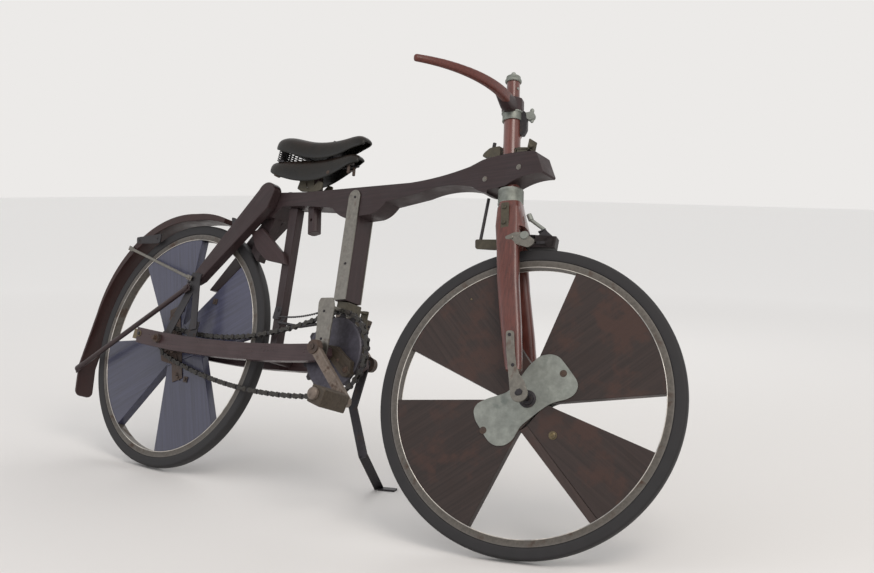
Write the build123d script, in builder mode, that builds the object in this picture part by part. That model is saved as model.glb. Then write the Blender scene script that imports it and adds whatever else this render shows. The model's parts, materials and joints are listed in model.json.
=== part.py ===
import math
import os

from build123d import *

os.makedirs("parts", exist_ok=True)

# The bicycle is drawn upright: +X forward, +Y to the rider's left, +Z up, with the origin
# under the rear wheel. It is then leaned on to its stand, and the front end is turned.
# All lengths are millimetres and all angles degrees.

# Wheels: solid tyre, rim, two half-lapped planks, hub tube and clamp plates
WHEEL_R = 355.0
TYRE_DEPTH = 27.0
TYRE_W = 30.0
RIM_DEPTH = 16.0
BOARD_T = 26.0
WAIST_R = 46.0
HUB_R, HUB_SIDES = 20.0, 16
HUB_LIP = 8.0
PLATE_T = 3.0
LOBE_R = 50.0
LOBE_AT = 100.0
CLIP_W = 44.0
CLIP_LEN = 220.0
AXLE_R = 6.0
STUB = 10.0

# Clearances: turning fits, face-to-face joints, and gaps of moving pieces
RUN = 0.05
FACE = 0.05
CLEAR = 8.0

# Steering and parking angles
AXIS_X = 1184.4
HEAD_DEG = 76.87
FORK_OFFSET = 55.1
STEER_DEG = 19.4
LEAN_DEG = 18.6

# Frame
BEAM_T = 56.0
STEERER_R = 21.0
CROWN_AT = 462.0
FERRULE_R, FERRULE_H = 30.0, 38.0
BB_X, BB_Z = 652.0, 390.0
BB_R = 8.0
STAY_Y, STAY_T = 70.0, 24.0
SEAT_STAY_T = 30.0
POST_W = 40.0
POST_TOP, POST_FOOT = (590.0, 792.0), (622.0, 528.0)
SEAT_W, SEAT_D, SEAT_CUT = 34.0, 30.0, 7.0
SEAT_TOP, SEAT_FOOT = (386.0, 884.0), (439.0, 708.0)
STRAP_T, STRAP_W = 4.0, 40.0
STRUT_T, STRUT_GAP = 28.0, 31.0
GUARD_OUT, GUARD_T, GUARD_W = 33.0, 24.0, 60.0
ROD_UPPER, ROD_LOWER = 5.0, 8.0

# Steering head, bars and fork
BAND_AT, BAND_H, BAND_R = 680.0, 24.0, 26.0
BLOCK_R, BLOCK_H = 26.0, 34.0
STEM_R, STEM_H = 17.0, 50.0
CAP_R, CAP_H = 20.0, 14.0
ARM_R, ARM_FROM, ARM_TO = 332.0, -4.1, 56.9
ARM_ROOT, ARM_TIP = (20.0, 34.0), (15.0, 16.0)
BLADE_W, BLADE_T, BLADE_FOOT = 36.0, 24.0, 30.0
BLADE_Y, DROPOUT_Y = 27.0, 72.0
BLADE_END = 40.0
FITTING_T = 3.5
BRAKE_GAP = 6.0
TUBE_R = 6.0

# Crank set and chain drive
CRANK_Y, CRANK_T, CRANK_W = 105.0, 12.0, 26.0
CRANK_LEN = 188.0
CRANK_DEG = -39.2
BLOCK_RIM = (
    (-18, 18), (19, 17), (49, -1), (79, -15), (86, -45), (75, -55), (60, -56), (14, -23), (-12, 1),
)
PEDAL_R = 6.0
PEDAL_W, PEDAL_H, PEDAL_LEN = 36.0, 32.0, 92.0
PEDAL_DEG = -31.5
PITCH = 21.5
RING_LINKS = 32
COG_LINKS = 12
CHAIN_Y = -34.0
LUMP_W, LUMP_H = 6.0, 9.0
LINK_T, LINK_H, LINK_LAP = 2.0, 7.5, 5.0
TOOTH_W, TOOTH_H, TOOTH_GAP = 5.0, 9.0, 0.4
SLACK_TOP, SLACK_LOW = 42.0, 26.0

# Stand: a flat bar, down past the pedal's circle, then out to its foot
STAND_T, STAND_W = 5.0, 24.0
KNEE, ANKLE = (BB_X - 10.0, BB_Z - 118.0), (BB_X + 48.0, BB_Z - 232.0)
HEEL_XY, TOE_XY = (BB_X - 6.0, 268.0), (BB_X + 38.0, 286.0)

HEAD_RAD = math.radians(HEAD_DEG)
HEAD_X = (math.sin(HEAD_RAD), 0, math.cos(HEAD_RAD))
HEAD_Z = (-math.cos(HEAD_RAD), 0, math.sin(HEAD_RAD))
WHEEL_DROP = FORK_OFFSET / math.tan(HEAD_RAD)
BASE = AXIS_X + FORK_OFFSET / math.sin(HEAD_RAD)
H = BEAM_T / 2
IN_Y = STAY_Y - STAY_T / 2
OUT_Y = STAY_Y + STAY_T / 2
SIDES = (("right", -1), ("left", 1))

pieces = []


def keep(name, builder, group):
    pieces.append((name, builder.part, group))


def side(y, x=0.0, z=0.0):
    # First axis +X, second axis +Z, normal -Y.
    return Plane(origin=(x, y, z), x_dir=(1, 0, 0), z_dir=(0, -1, 0))


def head(x, y, z):
    # A point given along and across the steering axis, from where it meets hub height.
    return (
        AXIS_X + x * HEAD_X[0] + z * HEAD_Z[0],
        y,
        WHEEL_R + x * HEAD_X[2] + z * HEAD_Z[2],
    )


def head_plane(z):
    return Plane(origin=head(0, 0, z), x_dir=HEAD_X, z_dir=HEAD_Z)


def trace(runs):
    # A closed outline. A tuple of three points is an arc, and a list is straight lines.
    last = runs[-1][-1]
    for run in runs:
        if math.dist(last, run[0]) > 1e-6:
            Line(last, run[0])
        if isinstance(run, tuple):
            ThreePointArc(*run)
        else:
            for a, b in zip(run, run[1:]):
                Line(a, b)
        last = run[-1]


def panel(y0, y1, *runs):
    # A flat piece between two y values.
    with BuildPart() as made:
        with BuildSketch(side(max(y0, y1))):
            with BuildLine():
                trace(runs)
            make_face()
        extrude(amount=abs(y1 - y0))
    return made.part


def pin(x, z, r, y0, y1):
    with BuildPart() as made:
        with BuildSketch(side(max(y0, y1), x, z)):
            Circle(r)
        extrude(amount=abs(y1 - y0))
    return made.part


def nut(x, z, r, y0, y1, sides=6):
    with BuildPart() as made:
        with BuildSketch(side(max(y0, y1), x, z)):
            RegularPolygon(r, sides)
        extrude(amount=abs(y1 - y0))
    return made.part


def seat(x, z, r, y0, y1, sides=8):
    # The hole of a piece that is fixed on a pin: its flats bear on the pin.
    return nut(x, z, r / math.cos(math.pi / sides), y0, y1, sides)


def strip(y0, y1, a, b, w, end=0.0):
    # A flat strap of width w between two points of the X-Z plane, run on by end at each one.
    length = math.dist(a, b)
    ux, uz = (b[0] - a[0]) / length, (b[1] - a[1]) / length

    def at(p, along, across):
        return (p[0] + along * ux - across * uz, p[1] + along * uz + across * ux)

    cut = min(end, w / 2) * 0.6
    return panel(y0, y1, [
        at(a, -end, w / 2 - cut), at(a, cut - end, w / 2), at(b, end - cut, w / 2), at(b, end, w / 2 - cut),
        at(b, end, cut - w / 2), at(b, end - cut, -w / 2), at(a, cut - end, -w / 2), at(a, -end, cut - w / 2),
    ] if cut else [at(a, 0, w / 2), at(b, 0, w / 2), at(b, 0, -w / 2), at(a, 0, -w / 2)])


def rod(a, b, r, sides=0):
    a, b = Vector(*a), Vector(*b)
    with BuildPart() as made:
        with BuildSketch(Plane(origin=a, z_dir=b - a)):
            if sides:
                RegularPolygon(r, sides)
            else:
                Circle(r)
        extrude(amount=(b - a).length)
    return made.part


def bar(a, b, w, h, x_dir, cut=0.0):
    # A rectangular bar, w along x_dir and h across it, with its long edges chamfered.
    a, b = Vector(*a), Vector(*b)
    with BuildPart() as made:
        with BuildSketch(Plane(origin=a, x_dir=x_dir, z_dir=b - a)) as section:
            Rectangle(w, h)
            if cut:
                chamfer(section.vertices(), cut)
        extrude(amount=(b - a).length)
    return made.part


def drum(z0, z1, r, sides=0):
    # A round or many-sided piece about the steering axis.
    with BuildPart() as made:
        with BuildSketch(head_plane(z0)):
            if sides:
                RegularPolygon(r, sides, rotation=180 / sides)
            else:
                Circle(r)
        extrude(amount=z1 - z0)
    return made.part


def polar(cx, r, deg):
    return (cx + r * math.cos(math.radians(deg)), WHEEL_R + r * math.sin(math.radians(deg)))


def sweep_arc(cx, r, a0, a1):
    return (polar(cx, r, a0), polar(cx, r, (a0 + a1) / 2), polar(cx, r, a1))


def plank(cx, fans, t0, t1):
    # One plank of a wheel: two opposite fans that meet at a narrow waist.
    (a0, a1), (b0, b1) = fans
    low, high = (a0 + b1) / 2, (a1 + b0 + 360) / 2
    return panel(
        t0, t1,
        sweep_arc(cx, BOARD_R, a0, a1), [polar(cx, WAIST_R, high)],
        sweep_arc(cx, BOARD_R, b0, b1), [polar(cx, WAIST_R, low)],
    )


def ring(cx, profile):
    # A profile of (radius, y) points turned about the wheel's axle.
    with BuildPart() as made:
        with BuildSketch(Plane(origin=(cx, 0, WHEEL_R), x_dir=(0, 0, 1), z_dir=(-1, 0, 0))):
            with BuildLine():
                Polyline(*profile, close=True)
            make_face()
        revolve(axis=Axis((cx, 0, WHEEL_R), (0, 1, 0)))
    return made.part


RIM_OUT = WHEEL_R - TYRE_DEPTH
RIM_IN = RIM_OUT - RIM_DEPTH
BOARD_R = RIM_IN
T2 = BOARD_T / 2
HUB_HALF = T2 + PLATE_T + HUB_LIP

# tag, axle X, fans of plank a, fans of plank b (first angle, last angle)
WHEELS = (
    ("rear", 0.0, ((91, 137), (-90, -42)), ((10, 54), (-171, -128))),
    ("front", BASE, ((13, 82), (-169, -103)), ((101, 168), (-50, -10))),
)
# Angle of the clamp plate on each side of a wheel
PLATE_DEG = {"rear": {1: 32, -1: 114}, "front": {1: 47, -1: 47}}

for tag, cx, fans_a, fans_b in WHEELS:
    with BuildPart() as tyre:
        add(ring(cx, (
            (RIM_OUT, -TYRE_W / 2), (WHEEL_R, -TYRE_W / 2), (WHEEL_R, TYRE_W / 2), (RIM_OUT, TYRE_W / 2),
        )))
    keep(tag + "_tyre", tyre, tag)
    with BuildPart() as rim:
        add(ring(cx, ((RIM_IN, -T2), (RIM_OUT, -T2), (RIM_OUT, T2), (RIM_IN, T2))))
    keep(tag + "_rim", rim, tag)
    lap = FACE / 2
    for name, mine, other, cut in (
        ("boards_a", fans_a, fans_b, (-lap, T2)),
        ("boards_b", fans_b, fans_a, (-T2, lap)),
    ):
        with BuildPart() as boards:
            add(plank(cx, mine, -T2, T2))
            add(plank(cx, other, *cut), mode=Mode.SUBTRACT)
            add(nut(cx, WHEEL_R, HUB_R, -T2, T2, HUB_SIDES), mode=Mode.SUBTRACT)
        keep(tag + "_" + name, boards, tag)
    with BuildPart() as hub:
        add(nut(cx, WHEEL_R, HUB_R, -HUB_HALF, HUB_HALF, HUB_SIDES))
        for s in (-1, 1):
            deg = PLATE_DEG[tag][s]
            faces = (s * T2, s * (T2 + PLATE_T))
            if tag == "front":
                for turn in (0, 180):
                    add(nut(*polar(cx, LOBE_AT, deg + turn), LOBE_R, *faces, 20))
                add(strip(*faces, polar(cx, LOBE_AT, deg), polar(cx, LOBE_AT, deg + 180), LOBE_R * 1.2))
            else:
                ends = (polar(cx, CLIP_LEN / 2, deg), polar(cx, CLIP_LEN / 2, deg + 180))
                add(strip(*faces, *ends, CLIP_W))
        add(pin(cx, WHEEL_R, AXLE_R + RUN, -HUB_HALF, HUB_HALF), mode=Mode.SUBTRACT)
    keep(tag + "_hub", hub, tag)

# The post under the beam and the seat post through it
POST_ENDS = ((POST_TOP[0], 0, POST_TOP[1]), (POST_FOOT[0], 0, POST_FOOT[1]))
SEAT_ENDS = ((SEAT_TOP[0], 0, SEAT_TOP[1]), (SEAT_FOOT[0], 0, SEAT_FOOT[1]))
with BuildPart() as post:
    add(bar(*POST_ENDS, BEAM_T, POST_W, (0, 1, 0)))
keep("post", post, "frame")
with BuildPart() as seat_hole:
    add(bar(*SEAT_ENDS, SEAT_D, SEAT_W, (0, 1, 0), SEAT_CUT))

# Main beam, carved from one plank: rear block, seat rail, swelling over the post, and head
BEAM = (
    [(227, 790), (234, 811), (400, 817), (666, 841), (768, 849)],
    ((768, 849), (864, 867), (952, 893)),
    ((988, 911), (1055, 926), (1128, 934)),
    [(1141, 934), (1176, 880)],
    ((1176, 880), (1120, 871), (1072, 846)),
    ((1072, 846), (1022, 828), (975, 841)),
    ((975, 841), (900, 844), (805, 822)),
    ((700, 797), (686, 779), (655, 762)),
    ((569, 749), (541, 757), (512, 776)),
    [(387, 777), (320, 775), (286, 742), (255, 739)],
)
with BuildPart() as beam:
    add(panel(-H, H, *BEAM))
    chamfer(beam.edges().filter_by(Axis.Y).sort_by(Axis.X)[-2:], 5)
    add(drum(CROWN_AT, BAND_AT, STEERER_R + RUN), mode=Mode.SUBTRACT)
    add(drum(CROWN_AT - FERRULE_H, CROWN_AT + FERRULE_H + CLEAR / 2, FERRULE_R * 2, 8), mode=Mode.SUBTRACT)
    add(seat_hole.part, mode=Mode.SUBTRACT)
    add(post.part, mode=Mode.SUBTRACT)
keep("beam", beam, "frame")

SEAT_DIR = (SEAT_FOOT[0] - SEAT_TOP[0], SEAT_FOOT[1] - SEAT_TOP[1])
with BuildPart() as seat_post:
    add(seat_hole.part)
    hole = (SEAT_TOP[0] + 0.8 * SEAT_DIR[0], SEAT_TOP[1] + 0.8 * SEAT_DIR[1])
    add(nut(*hole, 4.5, -SEAT_W, SEAT_W, 8), mode=Mode.SUBTRACT)
keep("seat_post", seat_post, "frame")


def along(t, up):
    # A point t along the line from the rear axle to the crank axle, and up above it.
    length = math.dist((0, WHEEL_R), (BB_X, BB_Z))
    ux, uz = BB_X / length, (BB_Z - WHEEL_R) / length
    t = t * length
    return (t * ux - up * uz, WHEEL_R + t * uz + up * ux)


# Both sides: post strap, stepped bracket to the crank axle, chainstay, seat stay, fork end
FOOT_Z = POST_FOOT[1]
ends = {}
for label, s in SIDES:
    with BuildPart() as strap:
        add(panel(
            s * H, s * (H + STRAP_T),
            ((568, 803.5), (585.5, 826), (608, 808.5)), [(642, FOOT_Z + 4.5), (602, FOOT_Z - 0.5)],
        ))
    keep("strap_" + label, strap, "frame")
    with BuildPart() as bracket:
        shelf = FOOT_Z + 10
        add(panel(s * (H + STRAP_T), s * OUT_Y, [
            (598, shelf), (646, shelf), (646, shelf - STRAP_T), (598, shelf - STRAP_T),
        ]))
        add(panel(s * OUT_Y, s * (OUT_Y + STRAP_T), [
            (598, shelf), (646, shelf), (BB_X + 22, BB_Z + 20), (BB_X + 22, BB_Z - 12),
            (BB_X + 12, BB_Z - 22), (BB_X - 12, BB_Z - 22), (BB_X - 22, BB_Z - 12), (BB_X - 22, BB_Z + 20),
        ]))
        add(panel(s * (OUT_Y - 20), s * OUT_Y, [
            (646, shelf), (BB_X + 17.6, BB_Z + 40), (BB_X + 14, BB_Z + 40), (642.4, shelf),
        ]))
        add(pin(BB_X, BB_Z, BB_R + RUN, -150, 150), mode=Mode.SUBTRACT)
    keep("bracket_" + label, bracket, "frame")
    with BuildPart() as chainstay:
        add(panel(
            s * IN_Y, s * OUT_Y,
            (along(-0.16, 30), along(0.5, 5), along(0.98, 15)), [along(1.02, 8), along(1.03, -12)],
            (along(1.0, -28), along(0.46, -40), along(-0.15, -15)),
        ))
        add(pin(BB_X, BB_Z, BB_R + RUN, -150, 150), mode=Mode.SUBTRACT)
        add(seat(0, WHEEL_R, AXLE_R, -150, 150), mode=Mode.SUBTRACT)
    keep("chainstay_" + label, chainstay, "frame")
    with BuildPart() as stay:
        add(panel(
            s * H, s * (H + SEAT_STAY_T),
            [(30, WHEEL_R + 173), (240, 812)],
            ((240, 812), (270, 834), (303, 812)),
            [(290, 760), (84, WHEEL_R + 185), (62, WHEEL_R + 173)],
        ))
    keep("seat_stay_" + label, stay, "frame")
    with BuildPart() as fork_end:
        plate_y = (s * (H + SEAT_STAY_T), s * (H + SEAT_STAY_T + PLATE_T))
        knot = (75, WHEEL_R + 190)
        add(panel(*plate_y, [
            (36, knot[1] - 16), (52, knot[1] + 14), (93, knot[1] + 12), (82, knot[1] - 16),
        ]))
        add(strip(*plate_y, knot, (0, WHEEL_R), 30, 14))
        add(strip(*plate_y, knot, (115, WHEEL_R + 42), 26))
        add(panel(s * (IN_Y - PLATE_T), s * IN_Y, [
            (90, WHEEL_R + 66), (130, WHEEL_R + 66), (130, WHEEL_R + 10), (90, WHEEL_R + 10),
        ]))
        add(chainstay.part, mode=Mode.SUBTRACT)
        add(seat(0, WHEEL_R, AXLE_R, -150, 150), mode=Mode.SUBTRACT)
    ends[label] = fork_end.part
    keep("fork_end_" + label, fork_end, "frame")

with BuildPart() as rear_axle:
    add(pin(0, WHEEL_R, AXLE_R, -OUT_Y - 10 - STUB, OUT_Y + 10 + STUB))
    for s in (-1, 1):
        add(nut(0, WHEEL_R, 14, s * OUT_Y, s * (OUT_Y + 10)))
keep("rear_axle", rear_axle, "frame")

# Behind the seat post: the slender strut with its foot, the hanger and the gusset on it
STRUT_X = WHEEL_R + STRUT_GAP
with BuildPart() as strut:
    add(panel(-STRUT_T / 2, STRUT_T / 2, [
        (333, 775), (366, 775), (STRUT_X + 26, WHEEL_R + 37), (STRUT_X + 26, WHEEL_R - 10),
        (STRUT_X, WHEEL_R - 10), (STRUT_X, WHEEL_R + 37),
    ]))
    add(panel(-IN_Y, IN_Y, [
        (STRUT_X, WHEEL_R + 12), (STRUT_X + 26, WHEEL_R + 12), (STRUT_X + 26, WHEEL_R - 10),
        (STRUT_X, WHEEL_R - 10),
    ]))
keep("strut", strut, "frame")
with BuildPart() as hanger:
    add(panel(-H / 2, H / 2, [(236, 741), (286, 742), (256, WHEEL_R + 262), (215, WHEEL_R + 262)]))
    add(pin(0, WHEEL_R, WHEEL_R + CLEAR, -H, H), mode=Mode.SUBTRACT)
    add(beam.part, mode=Mode.SUBTRACT)
keep("hanger", hanger, "frame")
with BuildPart() as gusset:
    add(panel(
        -H, -H / 2, [(215, 696), (257, 709), (368, 640), (384, 612), (300, 620), (250, WHEEL_R + 296)],
    ))
keep("gusset", gusset, "frame")

# Rear guard: a board bent round the wheel, thickest over the top, with a tongue at its tail
GUARD_R = WHEEL_R + GUARD_OUT
TAIL = (polar(0, GUARD_R + 47, 195.2), polar(0, GUARD_R + 61, 207.1))
with BuildPart() as guard:
    add(panel(
        -GUARD_W / 2, GUARD_W / 2,
        sweep_arc(0, GUARD_R, 76, 172),
        [TAIL[0], TAIL[1], (TAIL[1][0] + 9, TAIL[1][1] + 2), (TAIL[0][0] + 9, TAIL[0][1])],
        (polar(0, GUARD_R - 9, 172), polar(0, GUARD_R - GUARD_T, 118), polar(0, GUARD_R - 14, 76)),
    ))
    fillet(guard.edges().filter_by(lambda e: e.length < 12).sort_by(Axis.Z)[:2], GUARD_W * 0.3)
keep("guard", guard, "frame")

# name, front end, rear end, radius
GUARD_STAYS = (
    ("guard_stay_upper", (50, WHEEL_R + 186), polar(0, GUARD_R - 8, 139.3), ROD_UPPER),
    ("guard_stay_lower", (55, WHEEL_R + 157), polar(0, GUARD_R + 37, 197.0), ROD_LOWER),
)
PLATE_OUT = H + SEAT_STAY_T + PLATE_T
for name, a, b, r in GUARD_STAYS:
    with BuildPart() as guard_stay:
        add(rod((a[0], -PLATE_OUT - r, a[1]), (b[0], -GUARD_W / 2 - r, b[1]), r, 8))
        add(nut(*a, r + 3, -PLATE_OUT - 2 * r, -PLATE_OUT))
        add(nut(*b, r + 3, -GUARD_W / 2 - 2 * r, -GUARD_W / 2))
        add(ends["right"], mode=Mode.SUBTRACT)
    keep(name, guard_stay, "frame")

# Saddle: two leather decks, the lower one smaller, with springs between them
DECK = (
    [(252, 0), (252, 50)],
    ((252, 50), (268, 88), (305, 92)),
    ((305, 92), (380, 52), (450, 30)),
    ((450, 30), (510, 24), (540, 18)),
)
# name, shift of the plan, side outline
SADDLE = (
    ("saddle_top", 0, (
        [(250, 930), (250, 970)],
        ((250, 970), (300, 984), (360, 977)),
        ((360, 977), (440, 972), (515, 988)),
        [(548, 984), (556, 968), (545, 952)],
        ((545, 952), (430, 946), (300, 925)),
    )),
    ("saddle_base", -8, (
        [(240, 868), (240, 895), (300, 909), (525, 936), (556, 918), (530, 898), (430, 878), (300, 866)],
    )),
)
for name, shift, outline in SADDLE:
    half = [type(run)((x + shift, y + shift) for x, y in run) for run in DECK]
    half[0] = [(DECK[0][0][0] + shift, 0), half[0][1]]
    nose = DECK[-1][-1]
    tip = ((nose[0] + shift, nose[1] + shift), (nose[0] + 16, 0), (nose[0] + shift, -nose[1] - shift))
    back = [type(run)((x, -y) for x, y in reversed(run)) for run in reversed(half)]
    with BuildPart() as deck:
        with BuildSketch(Plane.XY.offset(840)):
            with BuildLine():
                trace(half + [tip] + back)
            make_face()
        extrude(amount=170)
        add(panel(-120, 120, *outline), mode=Mode.INTERSECT)
        add(seat_hole.part, mode=Mode.SUBTRACT)
    keep(name, deck, "frame")
with BuildPart() as springs:
    for y in (-54, 54):
        add(rod((290, y, 890), (290, y, 935), 11, 12))
    add(panel(-20, 20, [(440, 915), (470, 915), (470, 955), (440, 955)]))
    for name, made, group in pieces[-2:]:
        add(made, mode=Mode.SUBTRACT)
keep("saddle_springs", springs, "frame")

# Steering head: steerer, ferrule, clamp band with its wing nut, block, post and cap
BLOCK_AT = BAND_AT + BAND_H
STEM_AT = BLOCK_AT + BLOCK_H
with BuildPart() as steerer:
    add(drum(CROWN_AT + FERRULE_H, BAND_AT, STEERER_R))
keep("steerer", steerer, "steer")
with BuildPart() as ferrule:
    add(drum(CROWN_AT, CROWN_AT + FERRULE_H, FERRULE_R, 16))
keep("ferrule", ferrule, "steer")
with BuildPart() as bar_clamp:
    mid = BAND_AT + BAND_H / 2
    add(drum(BAND_AT, BLOCK_AT, BAND_R, 16))
    add(bar(head(BAND_R - 4, 0, mid), head(BAND_R + 32, 0, mid), 8, 8, (0, 1, 0)))
    add(bar(head(BAND_R + 22, 0, mid - 19), head(BAND_R + 22, 0, mid + 19), 14, 5, (0, 1, 0)))
keep("bar_clamp", bar_clamp, "steer")
with BuildPart() as bar_block:
    add(drum(BLOCK_AT, STEM_AT, BLOCK_R / math.cos(math.pi / 8), 8))
keep("bar_block", bar_block, "steer")
with BuildPart() as bar_post:
    add(drum(STEM_AT, STEM_AT + STEM_H, STEM_R, 8))
    add(drum(STEM_AT + STEM_H, STEM_AT + STEM_H + CAP_H, CAP_R, 12))
    add(drum(STEM_AT + STEM_H + CAP_H, STEM_AT + STEM_H + CAP_H + 12, CAP_R / 2, 6))
keep("bar_post", bar_post, "steer")


def arm_point(across, deg):
    # A point off the arm's centre arc, forward and left of the steering axis.
    a, start = math.radians(deg), math.radians(ARM_FROM)
    r = ARM_R + across
    return (r * math.cos(a) - ARM_R * math.cos(start), r * math.sin(a) - ARM_R * math.sin(start))


ARM_MID = (ARM_FROM + ARM_TO) / 2
ARM_Z = BLOCK_AT + BLOCK_H / 2
ARM_HALF = ((ARM_ROOT[0]) / 2, (ARM_ROOT[0] + ARM_TIP[0]) / 4, ARM_TIP[0] / 2)
REACH = arm_point(ARM_HALF[2], ARM_TO)[1]
for label, s in SIDES:
    front = [arm_point(h, a) for h, a in zip(ARM_HALF, (ARM_FROM, ARM_MID, ARM_TO))]
    back = [arm_point(-h, a) for h, a in zip(ARM_HALF, (ARM_FROM, ARM_MID, ARM_TO))]
    with BuildPart() as handlebar:
        with BuildSketch(head_plane(BAND_AT)):
            with BuildLine():
                trace((tuple((x, s * y) for x, y in front), tuple((x, s * y) for x, y in reversed(back))))
            make_face()
        extrude(amount=BAND_H + BLOCK_H * 2)
        with BuildPart(mode=Mode.PRIVATE) as taper:
            with BuildSketch(Plane(origin=head(0, 0, ARM_Z), x_dir=(0, 1, 0), z_dir=HEAD_X)):
                with BuildLine():
                    Polyline(
                        (0, ARM_ROOT[1] / 2), (s * REACH, ARM_TIP[1] / 2), (s * REACH, -ARM_TIP[1] / 2),
                        (0, -ARM_ROOT[1] / 2), close=True,
                    )
                make_face()
            extrude(amount=ARM_R, both=True)
        add(taper.part, mode=Mode.INTERSECT)
        add(bar_block.part, mode=Mode.SUBTRACT)
    keep("handlebar_" + label, handlebar, "steer")

# Fork: two blades splayed from a crown block, with side plates and straps down to the axle
SPLAY = (DROPOUT_Y - BLADE_Y) / (CROWN_AT - BLADE_END)
SPLAY_DEG = math.atan(SPLAY)
RAKE = 38.0


def blade_face(s):
    # The outer face of a blade: first axis forward, second axis down on the left, up on the right.
    c, n = math.cos(SPLAY_DEG), math.sin(SPLAY_DEG)
    return Plane(
        origin=head(0, s * (BLADE_Y + BLADE_T / 2), CROWN_AT), x_dir=HEAD_X,
        z_dir=(n * HEAD_Z[0], s * c, n * HEAD_Z[2]),
    )


with BuildPart() as fork:
    for s in (-1, 1):
        with BuildPart(mode=Mode.PRIVATE) as blade:
            for z, x, y, w in ((CROWN_AT, 0, BLADE_Y, BLADE_W), (BLADE_END, RAKE, DROPOUT_Y, BLADE_FOOT)):
                with BuildSketch(head_plane(z)) as section:
                    with Locations((x, s * y)):
                        Rectangle(w, BLADE_T)
                    chamfer(section.vertices(), 4)
            loft()
        add(blade.part)
    add(bar(head(0, 0, CROWN_AT), head(3, 0, CROWN_AT - 67), BLADE_Y * 2, BLADE_W + 2, (0, 1, 0)))
    add(drum(CROWN_AT, CROWN_AT + BLADE_W, BLADE_Y * 2, 4), mode=Mode.SUBTRACT)
keep("fork", fork, "steer")

TUBE_AT = (60.0, CROWN_AT - 90.0)
with BuildPart() as brake_rod:
    add(rod(head(TUBE_AT[0], -54, TUBE_AT[1]), head(TUBE_AT[0], 54, TUBE_AT[1]), TUBE_R, 12))
    add(rod(head(BLADE_W / 2 + 1, 0, CROWN_AT - 17), head(86, 0, CROWN_AT - 72), TUBE_R * 0.7, 8))
    add(fork.part, mode=Mode.SUBTRACT)
with BuildPart() as brake_shoe:
    add(panel(
        -14, 14,
        sweep_arc(BASE, WHEEL_R + BRAKE_GAP, 94, 105),
        [polar(BASE, WHEEL_R + 40, 105), polar(BASE, WHEEL_R + 34, 94)],
    ))
    add(panel(-14, 14, [
        polar(BASE, WHEEL_R + 15, 98), polar(BASE, WHEEL_R + 15, 101.5), polar(BASE, WHEEL_R + 20, 101.5),
        polar(BASE, WHEEL_R + 20, 98),
    ]), mode=Mode.SUBTRACT)
    add(brake_rod.part, mode=Mode.SUBTRACT)
keep("brake_rod", brake_rod, "steer")
keep("brake_shoe", brake_shoe, "steer")
with BuildPart() as brake_lug:
    with BuildPart(mode=Mode.PRIVATE) as plate:
        with BuildSketch(Plane(origin=head(0, 36, 0), x_dir=HEAD_X, z_dir=(0, 1, 0))):
            with BuildLine():
                Polyline((0, -356), (0, -385), (-86, -385), (-86, -364), (-70, -356), close=True)
            make_face()
        extrude(amount=4)
    add(plate.part)
    add(rod(head(-76, 38, 380), head(-69, 38, 492), 3, 8))
    add(fork.part, mode=Mode.SUBTRACT)
keep("brake_lug", brake_lug, "steer")

for label, s in SIDES:
    with BuildPart() as fork_plate:
        with BuildSketch(blade_face(s)):
            with BuildLine():
                Polyline(
                    (-14, s * 8), (14, s * 8), (18, s * 66), (60, s * 66), (70, s * 76), (72, s * 98),
                    (66, s * 112), (54, s * 118), (-4, s * 112), close=True,
                )
            make_face()
        extrude(amount=FITTING_T)
        add(brake_rod.part, mode=Mode.SUBTRACT)
    keep("fork_plate_" + label, fork_plate, "steer")
    with BuildPart() as drop:
        y = s * (DROPOUT_Y + BLADE_T / 2 + 2)
        add(bar(head(31, y - s * 11.2, 135), head(RAKE, y, 30), 24, 4, HEAD_X))
        add(bar(head(RAKE, y, 34), head(FORK_OFFSET, y, -WHEEL_DROP), 24, 4, HEAD_X))
        add(nut(BASE, WHEEL_R, 17, y - s * 2, y + s * 2, 8))
        add(seat(BASE, WHEEL_R, AXLE_R, -150, 150), mode=Mode.SUBTRACT)
        add(fork.part, mode=Mode.SUBTRACT)
    keep("drop_strap_" + label, drop, "steer")
DROP_OUT = DROPOUT_Y + BLADE_T / 2 + 4
with BuildPart() as front_axle:
    add(pin(BASE, WHEEL_R, AXLE_R, -DROP_OUT - 10 - STUB, DROP_OUT + 10 + STUB))
    for s in (-1, 1):
        add(nut(BASE, WHEEL_R, 13, s * DROP_OUT, s * (DROP_OUT + 10)))
keep("front_axle", front_axle, "steer")


def sprocket(cx, cz, pitch_r, links, y0, y1):
    # A toothed disc with a tooth for every other link, whose tips end just inside the blocks.
    r = pitch_r * math.cos(math.pi / links) - LUMP_H / 2 - TOOTH_GAP
    teeth = links // 2
    step = 2 * math.pi / teeth
    points = []
    for k in range(teeth):
        for turn, reach in ((-0.3, r - TOOTH_H), (-0.13, r), (0.13, r), (0.3, r - TOOTH_H)):
            a = (k + turn) * step
            points.append((cx + reach * math.cos(a), cz + reach * math.sin(a)))
    return panel(y0, y1, points)


# Crank set
RING_R = PITCH / 2 / math.sin(math.pi / RING_LINKS)
COG_R = PITCH / 2 / math.sin(math.pi / COG_LINKS)
DISC_Y = (CHAIN_Y - TOOTH_W / 2, CHAIN_Y + TOOTH_W / 2)
with BuildPart() as chainwheel:
    add(sprocket(BB_X, BB_Z, RING_R, RING_LINKS, *DISC_Y))
    add(seat(BB_X, BB_Z, BB_R, -150, 150), mode=Mode.SUBTRACT)
keep("chainwheel", chainwheel, "crank")
with BuildPart() as crank_block:
    add(panel(CLEAR - 2 - IN_Y, DISC_Y[0], [(BB_X + x, BB_Z + z) for x, z in BLOCK_RIM]))
    add(seat(BB_X, BB_Z, BB_R, -150, 150), mode=Mode.SUBTRACT)
keep("crank_block", crank_block, "crank")
with BuildPart() as crank_axle:
    add(pin(BB_X, BB_Z, BB_R, -CRANK_Y - 8, CRANK_Y + 8))
keep("crank_axle", crank_axle, "crank")
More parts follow.
